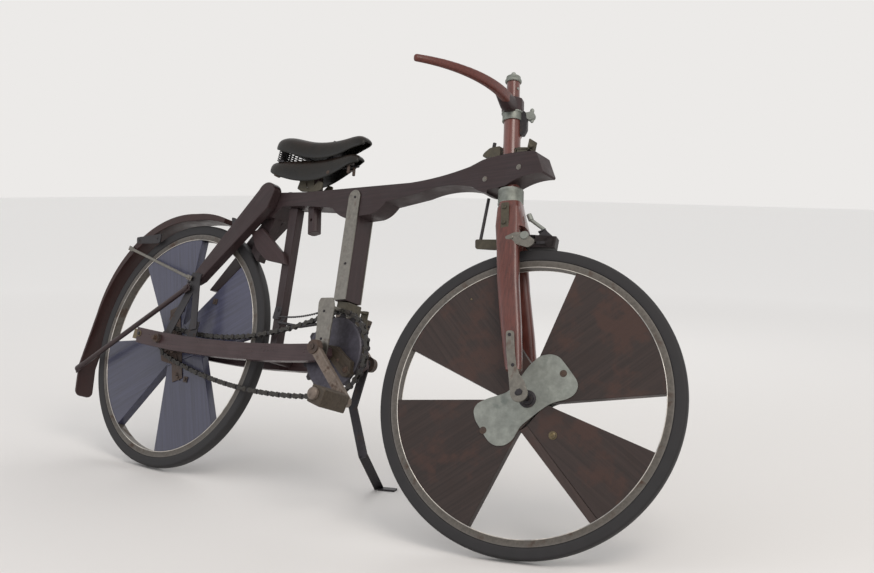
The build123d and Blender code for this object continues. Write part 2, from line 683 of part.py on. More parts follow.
tips = {}
for label, s in SIDES:
    turn = math.radians(CRANK_DEG if s < 0 else CRANK_DEG + 180)
    tip = (BB_X + CRANK_LEN * math.cos(turn), BB_Z + CRANK_LEN * math.sin(turn))
    tips[s] = (tip[0], 0, tip[1])
    near, far = CRANK_Y + CRANK_T / 2 + 5, CRANK_Y + CRANK_T / 2 + 5 + PEDAL_LEN
    with BuildPart() as arm:
        add(strip(s * (CRANK_Y - CRANK_T / 2), s * (CRANK_Y + CRANK_T / 2), (BB_X, BB_Z), tip, CRANK_W, 15))
        add(seat(BB_X, BB_Z, BB_R, -150, 150), mode=Mode.SUBTRACT)
        add(pin(*tip, PEDAL_R, s * CRANK_Y, s * (far + 6)))
    keep("crank_" + label, arm, "crank")
    tread = (math.cos(math.radians(PEDAL_DEG)), 0, math.sin(math.radians(PEDAL_DEG)))
    with BuildPart() as pedal:
        add(bar((tip[0], s * near, tip[1]), (tip[0], s * far, tip[1]), PEDAL_W, PEDAL_H, tread, 5))
        add(nut(*tip, 12, s * far, s * (far + 12), 10))
        add(pin(*tip, PEDAL_R + RUN, s * 100, s * (far + 7)), mode=Mode.SUBTRACT)
    keep("pedal_" + label, pedal, "pedal_" + label)

with BuildPart() as cog:
    add(sprocket(0, WHEEL_R, COG_R, COG_LINKS, *DISC_Y))
    add(nut(0, WHEEL_R, 16, DISC_Y[1], -HUB_HALF, 12))
    add(pin(0, WHEEL_R, AXLE_R + RUN, -60, 60), mode=Mode.SUBTRACT)
keep("cog", cog, "rear")


def chain_path():
    # The closed pitch line: round the ring, along the lower run, round the cog, and back.
    dx, dz = BB_X, BB_Z - WHEEL_R
    span = math.hypot(dx, dz)
    slope = math.atan2(dz, dx)
    open_by = math.asin((RING_R - COG_R) / span)
    up, down = slope + open_by + math.pi / 2, slope - open_by - math.pi / 2

    def on(x, z, r, a):
        return (x + r * math.cos(a), z + r * math.sin(a))

    def run(a, b, slack):
        # A hanging run between two points, as even parts of a parabola.
        return [
            (a[0] + (b[0] - a[0]) * t, a[1] + (b[1] - a[1]) * t - 4 * slack * t * (1 - t))
            for t in (i / n for i in range(n))
        ]

    # Slack tips the ends of a run, so it leaves each sprocket further round.
    tip_top, tip_low = 4 * SLACK_TOP / span, 4 * SLACK_LOW / span
    ring_on, ring_off = up + tip_top, down + tip_low
    cog_on, cog_off = down - tip_low, up - tip_top - 2 * math.pi
    n = 60
    path = [on(BB_X, BB_Z, RING_R, ring_on + (ring_off - ring_on) * i / n) for i in range(n)]
    path += run(on(BB_X, BB_Z, RING_R, ring_off), on(0, WHEEL_R, COG_R, cog_on), SLACK_LOW)
    path += [on(0, WHEEL_R, COG_R, cog_on + (cog_off - cog_on) * i / n) for i in range(n)]
    path += run(on(0, WHEEL_R, COG_R, cog_off), on(BB_X, BB_Z, RING_R, ring_on), SLACK_TOP)
    return path


def spaced(path, step):
    # Even points along the closed path, an even number of them.
    lengths = [math.dist(path[i], path[(i + 1) % len(path)]) for i in range(len(path))]
    total = sum(lengths)
    count = 2 * round(total / step / 2)
    points, i, before = [], 0, 0.0
    for k in range(count):
        want = total * k / count
        while before + lengths[i] < want:
            before += lengths[i]
            i += 1
        a, b = path[i], path[(i + 1) % len(path)]
        t = (want - before) / lengths[i]
        points.append((a[0] + (b[0] - a[0]) * t, a[1] + (b[1] - a[1]) * t))
    return points


def flat(a, b, y0, y1, h, lap):
    # One chain piece between two pivots, run on by lap at each end.
    length = math.dist(a, b)
    ux, uz = (b[0] - a[0]) / length, (b[1] - a[1]) / length
    return panel(y0, y1, [
        (a[0] + t * ux - up * uz, a[1] + t * uz + up * ux)
        for t, up in ((-lap, h / 2), (length + lap, h / 2), (length + lap, -h / 2), (-lap, -h / 2))
    ])


# Block chain: solid blocks, with a plate on each side from every block to the next
points = spaced(chain_path(), PITCH)
links = []
b2 = LUMP_W / 2
for i, a in enumerate(points):
    b = points[(i + 1) % len(points)]
    if i % 2:
        links.append(flat(a, b, CHAIN_Y - b2, CHAIN_Y + b2, LUMP_H, 0))
    else:
        links.append(flat(a, b, CHAIN_Y - b2 - LINK_T, CHAIN_Y - b2, LINK_H, LINK_LAP))
        links.append(flat(a, b, CHAIN_Y + b2, CHAIN_Y + b2 + LINK_T, LINK_H, LINK_LAP))
with BuildPart() as chain:
    add(links)
keep("chain", chain, "frame")

LEAN = math.radians(LEAN_DEG)

# Parking: lean, lift to the floor, and turn the front end
lean = Rotation(-LEAN_DEG, 0, 0)
axis_at = Location((AXIS_X, 0, WHEEL_R)) * Rotation(0, HEAD_DEG - 90, 0)
steer = axis_at * Rotation(0, 0, STEER_DEG) * axis_at.inverse()
tyres = {group: made for name, made, group in pieces if name.endswith("tyre")}
rear_low = tyres["rear"].moved(lean).bounding_box().min.Z
front_low = tyres["front"].moved(lean * steer).bounding_box().min.Z
NOSE_DEG = math.degrees(math.asin((front_low - rear_low) / BASE / math.cos(LEAN)))
axle_at = Location((0, 0, WHEEL_R))
park = Location((0, 0, -rear_low)) * lean * axle_at * Rotation(0, NOSE_DEG, 0) * axle_at.inverse()
turned = park * steer


def on_floor(x, y, z):
    # A point given by its place over the floor of the leaning bicycle.
    return (x, y * math.cos(LEAN) - z * math.sin(LEAN), y * math.sin(LEAN) + z * math.cos(LEAN))


# Stand: a flat bar hung on the crank axle, down past the pedal's circle, then out to its foot
STAND_Y = OUT_Y + STRAP_T + 1.0
HEEL = on_floor(*HEEL_XY, STAND_T / 2 + rear_low)
TOE = on_floor(*TOE_XY, STAND_T / 2 + rear_low)
with BuildPart() as below:
    with BuildSketch(Plane.XY.offset(-40)):
        Rectangle(4000, 4000)
    extrude(amount=40)
with BuildPart() as stand:
    add(strip(STAND_Y, STAND_Y + STAND_T, (BB_X, BB_Z), KNEE, STAND_W + 2, 10))
    add(strip(STAND_Y, STAND_Y + STAND_T, KNEE, ANKLE, STAND_W + 2, 8))
    add(bar((ANKLE[0], STAND_Y + STAND_T / 2, ANKLE[1]), HEEL, STAND_W, STAND_T, (1, 0, 1)))
    add(bar(HEEL, TOE, STAND_W, STAND_T, (-18, 44 * math.cos(LEAN), 44 * math.sin(LEAN))))
    add(pin(BB_X, BB_Z, BB_R + RUN, -150, 150), mode=Mode.SUBTRACT)
    add(below.part.moved(park.inverse()), mode=Mode.SUBTRACT)
keep("stand", stand, "stand")

PLACES = {"steer": turned, "front": turned}
placed = [(name, made.moved(PLACES.get(group, park))) for name, made, group in pieces]
boxes = [made.bounding_box() for name, made in placed]
mid_x = (min(b.min.X for b in boxes) + max(b.max.X for b in boxes)) / 2
mid_y = (min(b.min.Y for b in boxes) + max(b.max.Y for b in boxes)) / 2
low_z = min(b.min.Z for b in boxes)
home = Location((-mid_x, -mid_y, -low_z))
for name, made in placed:
    out = made.moved(home)
    out.label = name
    export_step(out, "parts/" + name + ".step")

# Joint lines in the finished frame
JOINTS = (
    ("rear_wheel", park, (0, 0, WHEEL_R), (0, 1, 0)),
    ("front_wheel", turned, (BASE, 0, WHEEL_R), (0, 1, 0)),
    ("steering", turned, (AXIS_X, 0, WHEEL_R), HEAD_Z),
    ("crank", park, (BB_X, 0, BB_Z), (0, 1, 0)),
    ("pedal_right", park, (*tips[-1], ), (0, 1, 0)),
    ("pedal_left", park, (*tips[1], ), (0, 1, 0)),
)
for name, place, at, way in JOINTS:
    a = (home * place * Location(at)).position
    b = (home * place * Location(tuple(at[i] + way[i] for i in range(3)))).position
    print("joint", name, *(round(v / 1000, 6) for v in a), *(round(v, 6) for v in b - a))
print("low", round(low_z, 3), "pieces", len(pieces))
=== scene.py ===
import json
from math import asin, atan2, copysign, cos, degrees, hypot, pi, radians, sin

import bmesh
import bpy
from mathutils import Matrix, Vector


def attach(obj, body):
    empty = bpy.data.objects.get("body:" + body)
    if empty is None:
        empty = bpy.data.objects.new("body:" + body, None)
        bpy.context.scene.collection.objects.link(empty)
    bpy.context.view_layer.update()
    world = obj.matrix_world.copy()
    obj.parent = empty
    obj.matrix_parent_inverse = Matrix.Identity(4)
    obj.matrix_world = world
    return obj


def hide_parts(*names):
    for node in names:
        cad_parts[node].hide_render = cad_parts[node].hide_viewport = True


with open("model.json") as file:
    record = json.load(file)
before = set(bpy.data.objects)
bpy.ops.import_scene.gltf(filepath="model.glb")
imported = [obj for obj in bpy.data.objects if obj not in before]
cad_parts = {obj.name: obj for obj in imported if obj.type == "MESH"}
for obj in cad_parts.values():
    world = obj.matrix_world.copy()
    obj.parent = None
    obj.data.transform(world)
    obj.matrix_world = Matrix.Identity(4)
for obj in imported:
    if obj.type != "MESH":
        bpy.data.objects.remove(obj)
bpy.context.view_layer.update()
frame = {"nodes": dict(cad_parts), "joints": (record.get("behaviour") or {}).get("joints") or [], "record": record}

bl_info = {
    "name": "Wooden bicycle",
    "version": (1, 0, 0),
    "blender": (4, 5, 0),
    "location": "3D View > Sidebar > Bicycle",
    "description": "Dresses the packed frame of a wooden bicycle and sets up its stage",
    "category": "Object",
}

MM = 0.001
RECORD = frame["record"]
BODY = {node: body for body, nodes in RECORD["behaviour"]["bodies"].items() for node in nodes}
JOINTS = {joint["name"]: joint for joint in frame["joints"]}
SIDES = (("right", -1), ("left", 1))
SIGNS = (-1, 1)

# Sizes of the bicycle in millimetres and degrees, as its solids have them
WHEEL_R = 355
RIM_R = 312
BOARD_Y = 13
HEAD = radians(76.87)
BB = (652, 390)
CRANK_LEN = 188
CRANK_DEG = -39.2
PEDAL_DEG = -31.5
PITCH = 21.5
RING_LINKS, COG_LINKS = 32, 12
CHAIN_Y = -34

# Forms that the scene shapes further, in millimetres: the sag of the chain's runs, the guard's
# swell, how far the stand's ankle comes forward, and how much shallower the left skirts are
SLACK_TOP, SLACK_LOW = 42, 36
GUARD_SWELL = 20
ANKLE_SHIFT = 15
SKIRT_LIFT = 10

# Degrees by which an edge turns when it is rounded, and when it is shaded sharp
EASED_OVER, SHARP_OVER = 24, 32


def at(joint):
    return Vector(JOINTS[joint]["pos_m"])


def way(joint):
    return Vector(JOINTS[joint]["axis"]).normalized()


def place(origin, x, y, z):
    """Millimetres along three directions from an origin, as a matrix into the row's frame."""
    turn = Matrix((x, y, z)).transposed().to_4x4()
    return Matrix.Translation(origin) @ turn @ Matrix.Scale(MM, 4)


def bicycle_place():
    """The upright bicycle: +X forward, +Y left, +Z up, from the floor under the rear wheel."""
    y = way("rear_wheel_spin")
    reach = (at("crank_spin") - at("rear_wheel_spin")).normalized()
    rise = atan2(BB[1] - WHEEL_R, BB[0])
    across = reach.cross(y)
    x = cos(rise) * reach - sin(rise) * across
    z = sin(rise) * reach + cos(rise) * across
    return place(at("rear_wheel_spin"), x, y, z) @ Matrix.Translation((0, 0, -WHEEL_R))


BIKE = bicycle_place()
REAR = BIKE @ Matrix.Translation((0, 0, WHEEL_R))
STEER_Y, STEER_Z = way("front_wheel_spin"), way("steering")
STEER_X = STEER_Y.cross(STEER_Z)
STEER = place(at("steering"), STEER_X, STEER_Y, STEER_Z)
FRONT = place(
    at("front_wheel_spin"),
    sin(HEAD) * STEER_X - cos(HEAD) * STEER_Z,
    STEER_Y,
    cos(HEAD) * STEER_X + sin(HEAD) * STEER_Z,
)
WHEELS = ("rear", "front")

# The frame that each body's pieces are built in, where it isn't the upright bicycle's
OWN_FRAME = {"rear_wheel": REAR, "front_wheel": FRONT, "front_fork": STEER}


def colour(code):
    """An sRGB hex value as linear red, green, blue and alpha."""
    parts = [int(code[i : i + 2], 16) / 255 for i in (0, 2, 4)]
    return (*(c / 12.92 if c <= 0.04045 else ((c + 0.055) / 1.055) ** 2.4 for c in parts), 1)


def tint(name, code, note):
    return bpy.props.FloatVectorProperty(
        name=name, description=note, subtype="COLOR", size=4, min=0, max=1,
        default=colour(code),
    )


def length(name, millimetres, note):
    return bpy.props.FloatProperty(
        name=name, description=note, unit="LENGTH", min=0, default=millimetres * MM
    )


class BicycleSizes(bpy.types.PropertyGroup):
    tread_round: length("Tread rounding", 3, "How far the worn tread stands above its shoulders")
    lip: length("Rim lip", 1.1, "Radius of the bare steel lip along each edge of a rim")
    board_edge: length("Board edge", 2.2, "Rounding of the wheel boards' edges")
    timber_edge: length("Timber edge", 5, "Rounding of the beam, the stays and the handlebars")
    bolt: length("Bolt", 6, "Radius of the bolt heads on the straps")
    leather: length("Leather", 5, "Thickness of the saddle decks")
    wire: length("Spring wire", 1.5, "Radius of the saddle springs' wire")
    plate: length("Chain plate", 7.4, "Half the height of the chain's plates at their pivots")


class BicycleFinishes(bpy.types.PropertyGroup):
    red_varnish: tint("Red varnish", "5c2e26", "Fork, steerer and handlebars")
    dark_varnish: tint("Dark varnish", "302223", "Beam, stays and post")
    guard_varnish: tint("Guard varnish", "2e1411", "Board of the rear guard")
    front_board: tint("Front boards", "302522", "Boards of the front wheel")
    # Rear boards: dark varnish with a painted blue reflection of cool light in its colour
    rear_board: tint("Rear boards", "393a50", "Boards of the rear wheel, bloomed blue")
    board_blotch: tint("Board blotches", "3f2820", "Redder patches of the front boards' varnish")
    rubber: tint("Rubber", "201e20", "Solid tyres")
    rim_paint: tint("Rim paint", "5a554f", "Worn paint of the rims")
    bare_steel: tint("Bare steel", "c9c0b4", "Lips of the rims and rubbed edges")
    zinc: tint("Zinc", "82867f", "Galvanised plates, ferrule and cap")
    verdigris: tint("Green stain", "4d5a54", "Old stain on the galvanised sheet")
    strap_steel: tint("Strap steel", "726e66", "Pale straps and brackets")
    chainwheel: tint("Chainwheel", "423f47", "Dished disc of the chainwheel")
    dark_iron: tint("Dark iron", "2f2c2f", "Stand, chainwheel and chain")
    olive: tint("Olive iron", "4a4436", "Stained blocks and bracket by the crank")
    rust: tint("Rust", "4c3a2f", "Rust on the fittings")
    crank_paint: tint("Crank paint", "6f6257", "Crank arms")
    block: tint("Pedal block", "453c32", "Pedal blocks and the block on the crank")
    leather: tint("Leather", "100f0a", "Flanks of the saddle")
    # Worn leather: partly real wear, partly a painted sheen on the saddle's upward faces
    worn_leather_and_sheen: tint("Worn leather", "2a1c17", "Rubbed tops of the saddle")
    brass: tint("Brass", "6e6148", "Brass bolt of a front board and cap of the chainstay")


def size(name):
    """A size of the settings, in millimetres."""
    return getattr(bpy.context.scene.bicycle_sizes, name) / MM


def toned(tone, by, grey=0):
    """A colour made darker or lighter, and partly grey."""
    mean = sum(tone[:3]) / 3
    return (*(min(1, (c + (mean - c) * grey) * by) for c in tone[:3]), 1)


def hue(name, by=1, grey=0):
    """A colour of the settings, made darker or lighter, and partly grey."""
    return toned(getattr(bpy.context.scene.bicycle_finishes, name), by, grey)


# Materials

def feed(tree, node, links):
    """Gives each input a value, or another node's socket."""
    for name, value in links.items():
        if isinstance(value, bpy.types.NodeSocket):
            tree.links.new(value, node.inputs[name])
        else:
            node.inputs[name].default_value = value


def add(tree, kind, links=None, **settings):
    """Adds a node with its settings and its inputs."""
    made = tree.nodes.new(kind)
    for name, value in settings.items():
        setattr(made, name, value)
    feed(tree, made, links or {})
    return made


def begin(name):
    """A new material, its tree, its shader and its Object coordinates."""
    skin = bpy.data.materials.new(name)
    skin.use_nodes = True
    tree = skin.node_tree
    where = add(tree, "ShaderNodeTexCoord").outputs["Object"]
    return skin, tree, tree.nodes["Principled BSDF"], where


def noise(tree, where, grain, detail, rough, warp=0):
    """Noise with a grain in millimetres."""
    return add(tree, "ShaderNodeTexNoise", {
        "Vector": where, "Scale": 1 / (grain * MM), "Detail": detail, "Roughness": rough,
        "Distortion": warp,
    }).outputs["Fac"]


def span(tree, value, low, high, start=0, end=1):
    """Carries low to high over into start to end."""
    return add(tree, "ShaderNodeMapRange", {
        "Value": value, "From Min": low, "From Max": high, "To Min": start, "To Max": end,
    }).outputs[0]


def blend(tree, part, a, b):
    """A colour between a and b."""
    return add(tree, "ShaderNodeMix", {0: part, 6: a, 7: b}, data_type="RGBA").outputs[2]


def both(tree, operation, a, b):
    return add(tree, "ShaderNodeMath", {0: a, 1: b}, operation=operation).outputs[0]


def relief(tree, height, strength, depth):
    """A bumpy normal, its depth in millimetres."""
    return add(tree, "ShaderNodeBump", {
        "Height": height, "Strength": strength, "Distance": depth * MM,
    }).outputs[0]


def rubbed(tree, low, most):
    """How much an outer edge has been rubbed bare."""
    edge = add(tree, "ShaderNodeNewGeometry").outputs["Pointiness"]
    return span(tree, edge, low, 0.62, 0, most)


def varnished_hardwood(
    name, tone, along, gloss=0.38, wear=0.5, fibre=4, patch=60, sheen=0.12, blotch=None,
):
    # Oil varnish on hardwood, a century old: grain shows as long streaks under the film, the
    # film is rubbed dull and pale in patches and on edges, and still shines where it is whole.
    skin, tree, shader, where = begin(name)
    turn = Vector((1, 0, 0)).rotation_difference(along).to_euler()
    fibres = add(tree, "ShaderNodeMapping", {
        "Vector": where, "Rotation": turn, "Scale": (fibre * 40 * MM, fibre * MM, fibre * MM),
    }, vector_type="TEXTURE").outputs[0]
    grain = noise(tree, fibres, 1 / MM, 5, 0.62, 0.35)
    cloud = noise(tree, where, patch, 4, 0.6)
    speck = noise(tree, where, 5, 3, 0.7)
    face = blend(tree, span(tree, grain, 0.36, 0.64), toned(tone, 0.6), toned(tone, 1.1))
    face = blend(tree, span(tree, cloud, 0.46, 0.72, 0, wear), face, toned(tone, 1.45, 0.3))
    if blotch:
        face = blend(tree, span(tree, cloud, 0.5, 0.38, 0, 0.75), face, blotch)
    face = blend(tree, span(tree, speck, 0.62, 0.78, 0, 0.6), face, toned(tone, 0.35))
    bare = both(tree, "MULTIPLY", rubbed(tree, 0.52, 0.6), speck)
    feed(tree, shader, {
        "Base Color": blend(tree, bare, face, toned(tone, 2.6, 0.3)),
        "Roughness": span(tree, cloud, 0.35, 0.7, gloss, gloss + 0.3),
        "Normal": relief(tree, both(tree, "ADD", grain, speck), 0.35, 0.6),
        "Coat Weight": sheen, "Coat Roughness": 0.22, "Specular IOR Level": 0.3,
    })
    return skin


def aged_metal(name, tone, stain, amount, rough, metallic, mottle, spread):
    # Worked metal that has stood for decades: bare metal clouds over in small mottles, and
    # rust or stain spreads over it in soft-edged patches that no longer shine.
    skin, tree, shader, where = begin(name)
    fine = noise(tree, where, mottle, 5, 0.65)
    wide = noise(tree, where, spread, 5, 0.6, 0.4)
    face = blend(tree, span(tree, fine, 0.35, 0.68), toned(tone, 0.72), toned(tone, 1.2))
    stained = span(tree, wide, 0.68 - amount * 0.4, 0.8 - amount * 0.4)
    face = blend(tree, stained, face, stain)
    feed(tree, shader, {
        "Base Color": blend(tree, rubbed(tree, 0.51, 0.55), face, toned(tone, 2, 0.5)),
        "Metallic": span(tree, stained, 0, 1, metallic, metallic * 0.25),
        "Roughness": span(tree, stained, 0, 1, rough, 0.8),
        "Normal": relief(tree, fine, 0.3, 0.5),
    })
    return skin


def perished_rubber(name, tone):
    # Solid rubber with a dusty bloom: dull, slightly crazed, paler where dust lies on it.
    skin, tree, shader, where = begin(name)
    dust = noise(tree, where, 30, 5, 0.6)
    crazing = add(tree, "ShaderNodeTexVoronoi", {
        "Vector": where, "Scale": 1 / (6 * MM),
    }, feature="DISTANCE_TO_EDGE").outputs["Distance"]
    dusty = span(tree, dust, 0.35, 0.7)
    feed(tree, shader, {
        "Base Color": blend(tree, dusty, toned(tone, 0.7), toned(tone, 1.25, 0.3)),
        "Roughness": span(tree, dust, 0, 1, 0.5, 0.8),
        "Normal": relief(tree, crazing, 0.12, 0.4),
    })
    return skin


def saddle_leather(name, flank, top):
    # Thick vegetable-tanned leather, nearly black with old dressing: a fine pebbled grain, a soft
    # shine, and a browner top on its upward faces, partly worn smooth where it has been sat on
    # and partly a painted sheen of light from above.
    skin, tree, shader, where = begin(name)
    pebbles = add(tree, "ShaderNodeTexVoronoi", {
        "Vector": where, "Scale": 1 / (2.5 * MM),
    }).outputs["Distance"]
    blotch = noise(tree, where, 28, 5, 0.6)
    creases = noise(tree, where, 12, 2, 0.5, 2.5)
    normal = add(tree, "ShaderNodeNewGeometry").outputs["Normal"]
    up = add(tree, "ShaderNodeSeparateXYZ", {0: normal}).outputs["Z"]
    patches = span(tree, blotch, 0.3, 0.6)
    # The browner top on upward faces is partly real wear and partly a painted sheen
    worn = both(tree, "MULTIPLY", span(tree, up, 0.25, 0.95, 0, 0.85), patches)
    side = blend(tree, patches, toned(flank, 0.6), toned(flank, 1.5))
    feed(tree, shader, {
        "Base Color": blend(tree, worn, side, top),
        "Roughness": span(tree, blotch, 0, 1, 0.32, 0.62),
        "Normal": relief(tree, both(tree, "ADD", pebbles, creases), 0.4, 0.7),
        "Coat Weight": 0.15, "Coat Roughness": 0.25, "Specular IOR Level": 0.3,
    })
    return skin


# The metals. Each has its material's name, its colour with a brightness and a greyness, its stain
# with a brightness, the stained part, the roughness, the metallic part, and the sizes of its
# mottles and of its stains in millimetres.
METALS = {
    "zinc": ("galvanised_sheet", "zinc", 1, 0, "verdigris", 1, 0.15, 0.55, 0.7, 18, 70),
    "strap": ("worn_strap_steel", "strap_steel", 1, 0, "rust", 1.1, 0.25, 0.4, 0.85, 10, 25),
    "iron": ("dark_forged_iron", "dark_iron", 1, 0, "rust", 0.7, 0.25, 0.5, 0.6, 8, 30),
    "black": ("blackened_iron", "dark_iron", 0.85, 0, "rust", 0.5, 0.3, 0.45, 0.4, 8, 30),
    "olive": ("olive_stained_iron", "olive", 1, 0, "olive", 0.6, 0.35, 0.5, 0.5, 9, 30),
    "rusty": ("rusted_iron", "rust", 1.1, 0.4, "rust", 1, 0.6, 0.55, 0.6, 6, 18),
    "brass": ("tarnished_brass", "brass", 1, 0, "brass", 0.5, 0.3, 0.35, 1, 4, 12),
    "bare": ("rubbed_bare_steel", "bare_steel", 1, 0, "rim_paint", 0.9, 0.5, 0.3, 0.9, 12, 90),
    "rim": ("worn_rim_paint", "rim_paint", 1, 0, "rust", 0.8, 0.3, 0.45, 0.35, 7, 40),
    "link": ("chain_plate_steel", "strap_steel", 0.22, 0, "rust", 0.5, 0.4, 0.45, 0.7, 5, 12),
    "disc": ("chainwheel_iron", "chainwheel", 1, 0, "dark_iron", 0.8, 0.15, 0.42, 0.5, 12, 50),
    "crank": ("crank_paint", "crank_paint", 1, 0, "rust", 0.9, 0.3, 0.5, 0.35, 8, 24),
}


def metal(key):
    """The material of a metal, made on its first use."""
    name, tone, by, grey, stain, stain_by, *rest = METALS[key]
    return bpy.data.materials.get(name) or aged_metal(
        name, hue(tone, by, grey), hue(stain, stain_by), *rest)


# Shapes, in millimetres

def rod(mesh, a, b, r, sides=16, end=None):
    """A round or many-sided bar between two points, tapering to another radius at its end."""
    a, b = Vector(a), Vector(b)
    turn = (b - a).to_track_quat("Z", "Y").to_matrix().to_4x4()
    bmesh.ops.create_cone(
        mesh, cap_ends=True, segments=sides, radius1=r, radius2=r if end is None else end,
        depth=(b - a).length, matrix=Matrix.Translation((a + b) / 2) @ turn,
    )


def bar(mesh, a, b, w, h, across=(0, 1, 0)):
    """A rectangular bar between two points, w along the direction across and h the other way."""
    a, b = Vector(a), Vector(b)
    z = (b - a).normalized()
    x = (Vector(across) - z * Vector(across).dot(z)).normalized()
    turn = Matrix((x * w, z.cross(x) * h, b - a)).transposed().to_4x4()
    bmesh.ops.create_cube(mesh, size=1, matrix=Matrix.Translation((a + b) / 2) @ turn)


def ball(mesh, point, r, squash=(1, 1, 1), fine=2):
    scale = Matrix.Diagonal((*squash, 1))
    bmesh.ops.create_icosphere(
        mesh, subdivisions=fine, radius=r, matrix=Matrix.Translation(point) @ scale)


def mirrored(half):
    """A profile with its other half."""
    return half + [(r, -y) for r, y in reversed(half)]


def lathe(mesh, profile, steps=32, where=Matrix(), closed=True):
    """Turns a profile of (radius, along) points about the local Y axis of where."""
    verts = [mesh.verts.new(where @ Vector((r, y, 0))) for r, y in profile]
    ring = verts + verts[:1] if closed else verts
    edges = [mesh.edges.new(pair) for pair in zip(ring, ring[1:])]
    bmesh.ops.spin(
        mesh, geom=verts + edges, cent=where.translation, axis=where.to_3x3() @ Vector((0, 1, 0)),
        angle=2 * pi, steps=steps, use_merge=True,
    )


def facing(point, direction):
    """A place at a point whose Y axis goes along a direction."""
    turn = Vector(direction).to_track_quat("Y", "Z").to_matrix().to_4x4()
    return Matrix.Translation(point) @ turn


def slab(mesh, outline, near, far, corner=0, segments=4):
    """A flat piece: an outline of (x, z) points, its corners rounded, between two y values."""
    others = set(mesh.faces)
    face = mesh.faces.new([mesh.verts.new((x, near, z)) for x, z in outline])
    if corner:
        bmesh.ops.bevel(
            mesh, geom=list(face.verts), offset=corner, offset_type="OFFSET", segments=segments,
            profile=0.5, affect="VERTICES", material=-1, clamp_overlap=True,
        )
        face = next(f for f in mesh.faces if f not in others)
    made = bmesh.ops.extrude_face_region(mesh, geom=[face])
    top = [v for v in made["geom"] if isinstance(v, bmesh.types.BMVert)]
    bmesh.ops.translate(mesh, verts=top, vec=(0, far - near, 0))


def bolt(mesh, point, r, h=None, sides=6, washer=True, way_out=None):
    """A bolt head on its washer, standing out along a direction, or else sideways."""
    point = Vector(point)
    out = Vector(way_out or (0, copysign(1, point.y), 0)).normalized()
    h = r * 0.7 if h is None else h
    if washer:
        rod(mesh, point - out, point + out * 1.2, r * 1.45, 20, r * 1.35)
    rod(mesh, point, point + out * h, r, sides)
    rod(mesh, point + out * h, point + out * (h + r * 0.18), r * 0.9, sides * 2, r * 0.55)


def loft(mesh, stations, sideways=False):
    """A rounded bar through stations of (centre, half width, half thickness), along Z or Y."""
    rings = []
    for i, (centre, w, h) in enumerate(stations):
        last = i in (0, len(stations) - 1)
        ring = bmesh.ops.create_circle(mesh, cap_ends=last, segments=24, radius=1)["verts"]
        for v in ring:
            x, y = (copysign(abs(c) ** 0.6, c) for c in v.co.xy)
            v.co = Vector(centre) + Vector((w * x, 0, h * y) if sideways else (w * x, h * y, 0))
        rings.append([e for e in mesh.edges if e.verts[0] in ring and e.verts[1] in ring])
    for a, b in zip(rings, rings[1:]):
        bmesh.ops.bridge_loops(mesh, edges=a + b)


def coil(mesh, point, r, wire, turns, height):
    """A coil spring that stands on a point."""
    circle = bmesh.ops.create_circle(mesh, segments=6, radius=wire, matrix=Matrix.Translation(
        Vector(point) + Vector((r, 0, 0))) @ Matrix.Rotation(pi / 2, 4, "X"))["verts"]
    edges = list({e for v in circle for e in v.link_edges})
    steps = 14 * turns
    bmesh.ops.spin(
        mesh, geom=circle + edges, cent=point, axis=(0, 0, 1), dvec=(0, 0, height / steps),
        angle=2 * pi * turns, steps=steps, use_merge=False,
    )


def ease_edges(mesh, width, segments):
    """Rounds every edge that turns by more than an angle."""
    over = radians(EASED_OVER)
    sharp = [e for e in mesh.edges if e.is_manifold and e.calc_face_angle() > over]
    if sharp and width:
        bmesh.ops.bevel(
            mesh, geom=sharp, offset=width, offset_type="OFFSET", segments=segments, profile=0.5,
            affect="EDGES", material=-1, clamp_overlap=True, loop_slide=True,
        )


def placed(name, data):
    """A new object in the scene."""
    made = bpy.data.objects.new(name, data)
    bpy.context.scene.collection.objects.link(made)
    return made


def finish(name, mesh, skin, like, replaces=True, sharp=SHARP_OVER, soft=0):
    """Makes the finished piece of a mesh in the row's frame. It rides as the CAD node like does."""
    for face in mesh.faces:
        face.smooth = True
    for edge in mesh.edges:
        edge.smooth = not (edge.is_manifold and edge.calc_face_angle() > radians(sharp))
    data = bpy.data.meshes.new(name)
    mesh.to_mesh(data)
    mesh.free()
    data.materials.append(metal(skin) if isinstance(skin, str) else skin)
    made = placed(name, data)
    if soft:
        made.modifiers.new("Rounded", "SUBSURF").levels = soft
        made.modifiers["Rounded"].render_levels = soft
    else:
        made.modifiers.new("Even_shading", "WEIGHTED_NORMAL").keep_sharp = True
    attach(made, BODY[like])
    if replaces:
        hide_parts(like)


def own(node):
    return OWN_FRAME.get(BODY[node], BIKE)


def piece(
    name, skin, like, ease, *parts, where=None, replaces=True, segments=2, sharp=SHARP_OVER,
):
    """A piece of parts in its node's own frame or another. A part is a shape and its values."""
    mesh = bmesh.new()
    for shape, *values in parts:
        shape(mesh, *values)
    bmesh.ops.remove_doubles(mesh, verts=mesh.verts, dist=0.004)
    bmesh.ops.recalc_face_normals(mesh, faces=mesh.faces)
    ease_edges(mesh, ease, segments)
    bmesh.ops.transform(mesh, matrix=where or own(like), verts=mesh.verts)
    finish(name, mesh, skin, like, replaces, sharp)


def detail(*values, **settings):
    """A piece that is added to a CAD node's own."""
    piece(*values, replaces=False, **settings)


def bulged(p):
    """The guard's curve stands a little further from the wheel behind than a plain arc."""
    x, z = p.x, p.z - WHEEL_R
    part = min(max((degrees(atan2(z, x)) % 360 - 96) / 96, 0), 1)
    grow = 1 + GUARD_SWELL * sin(pi * part) / hypot(x, z)
    return Vector((x * grow, p.y, z * grow + WHEEL_R))


def straightened(p):
    """The stand's ankle, brought forward so that its bar reads nearly straight."""
    near = max(0, 1 - abs(p.z - 158) / 80) if p.y < 130 else 0
    return Vector((p.x + ANKLE_SHIFT * near, p.y, p.z))


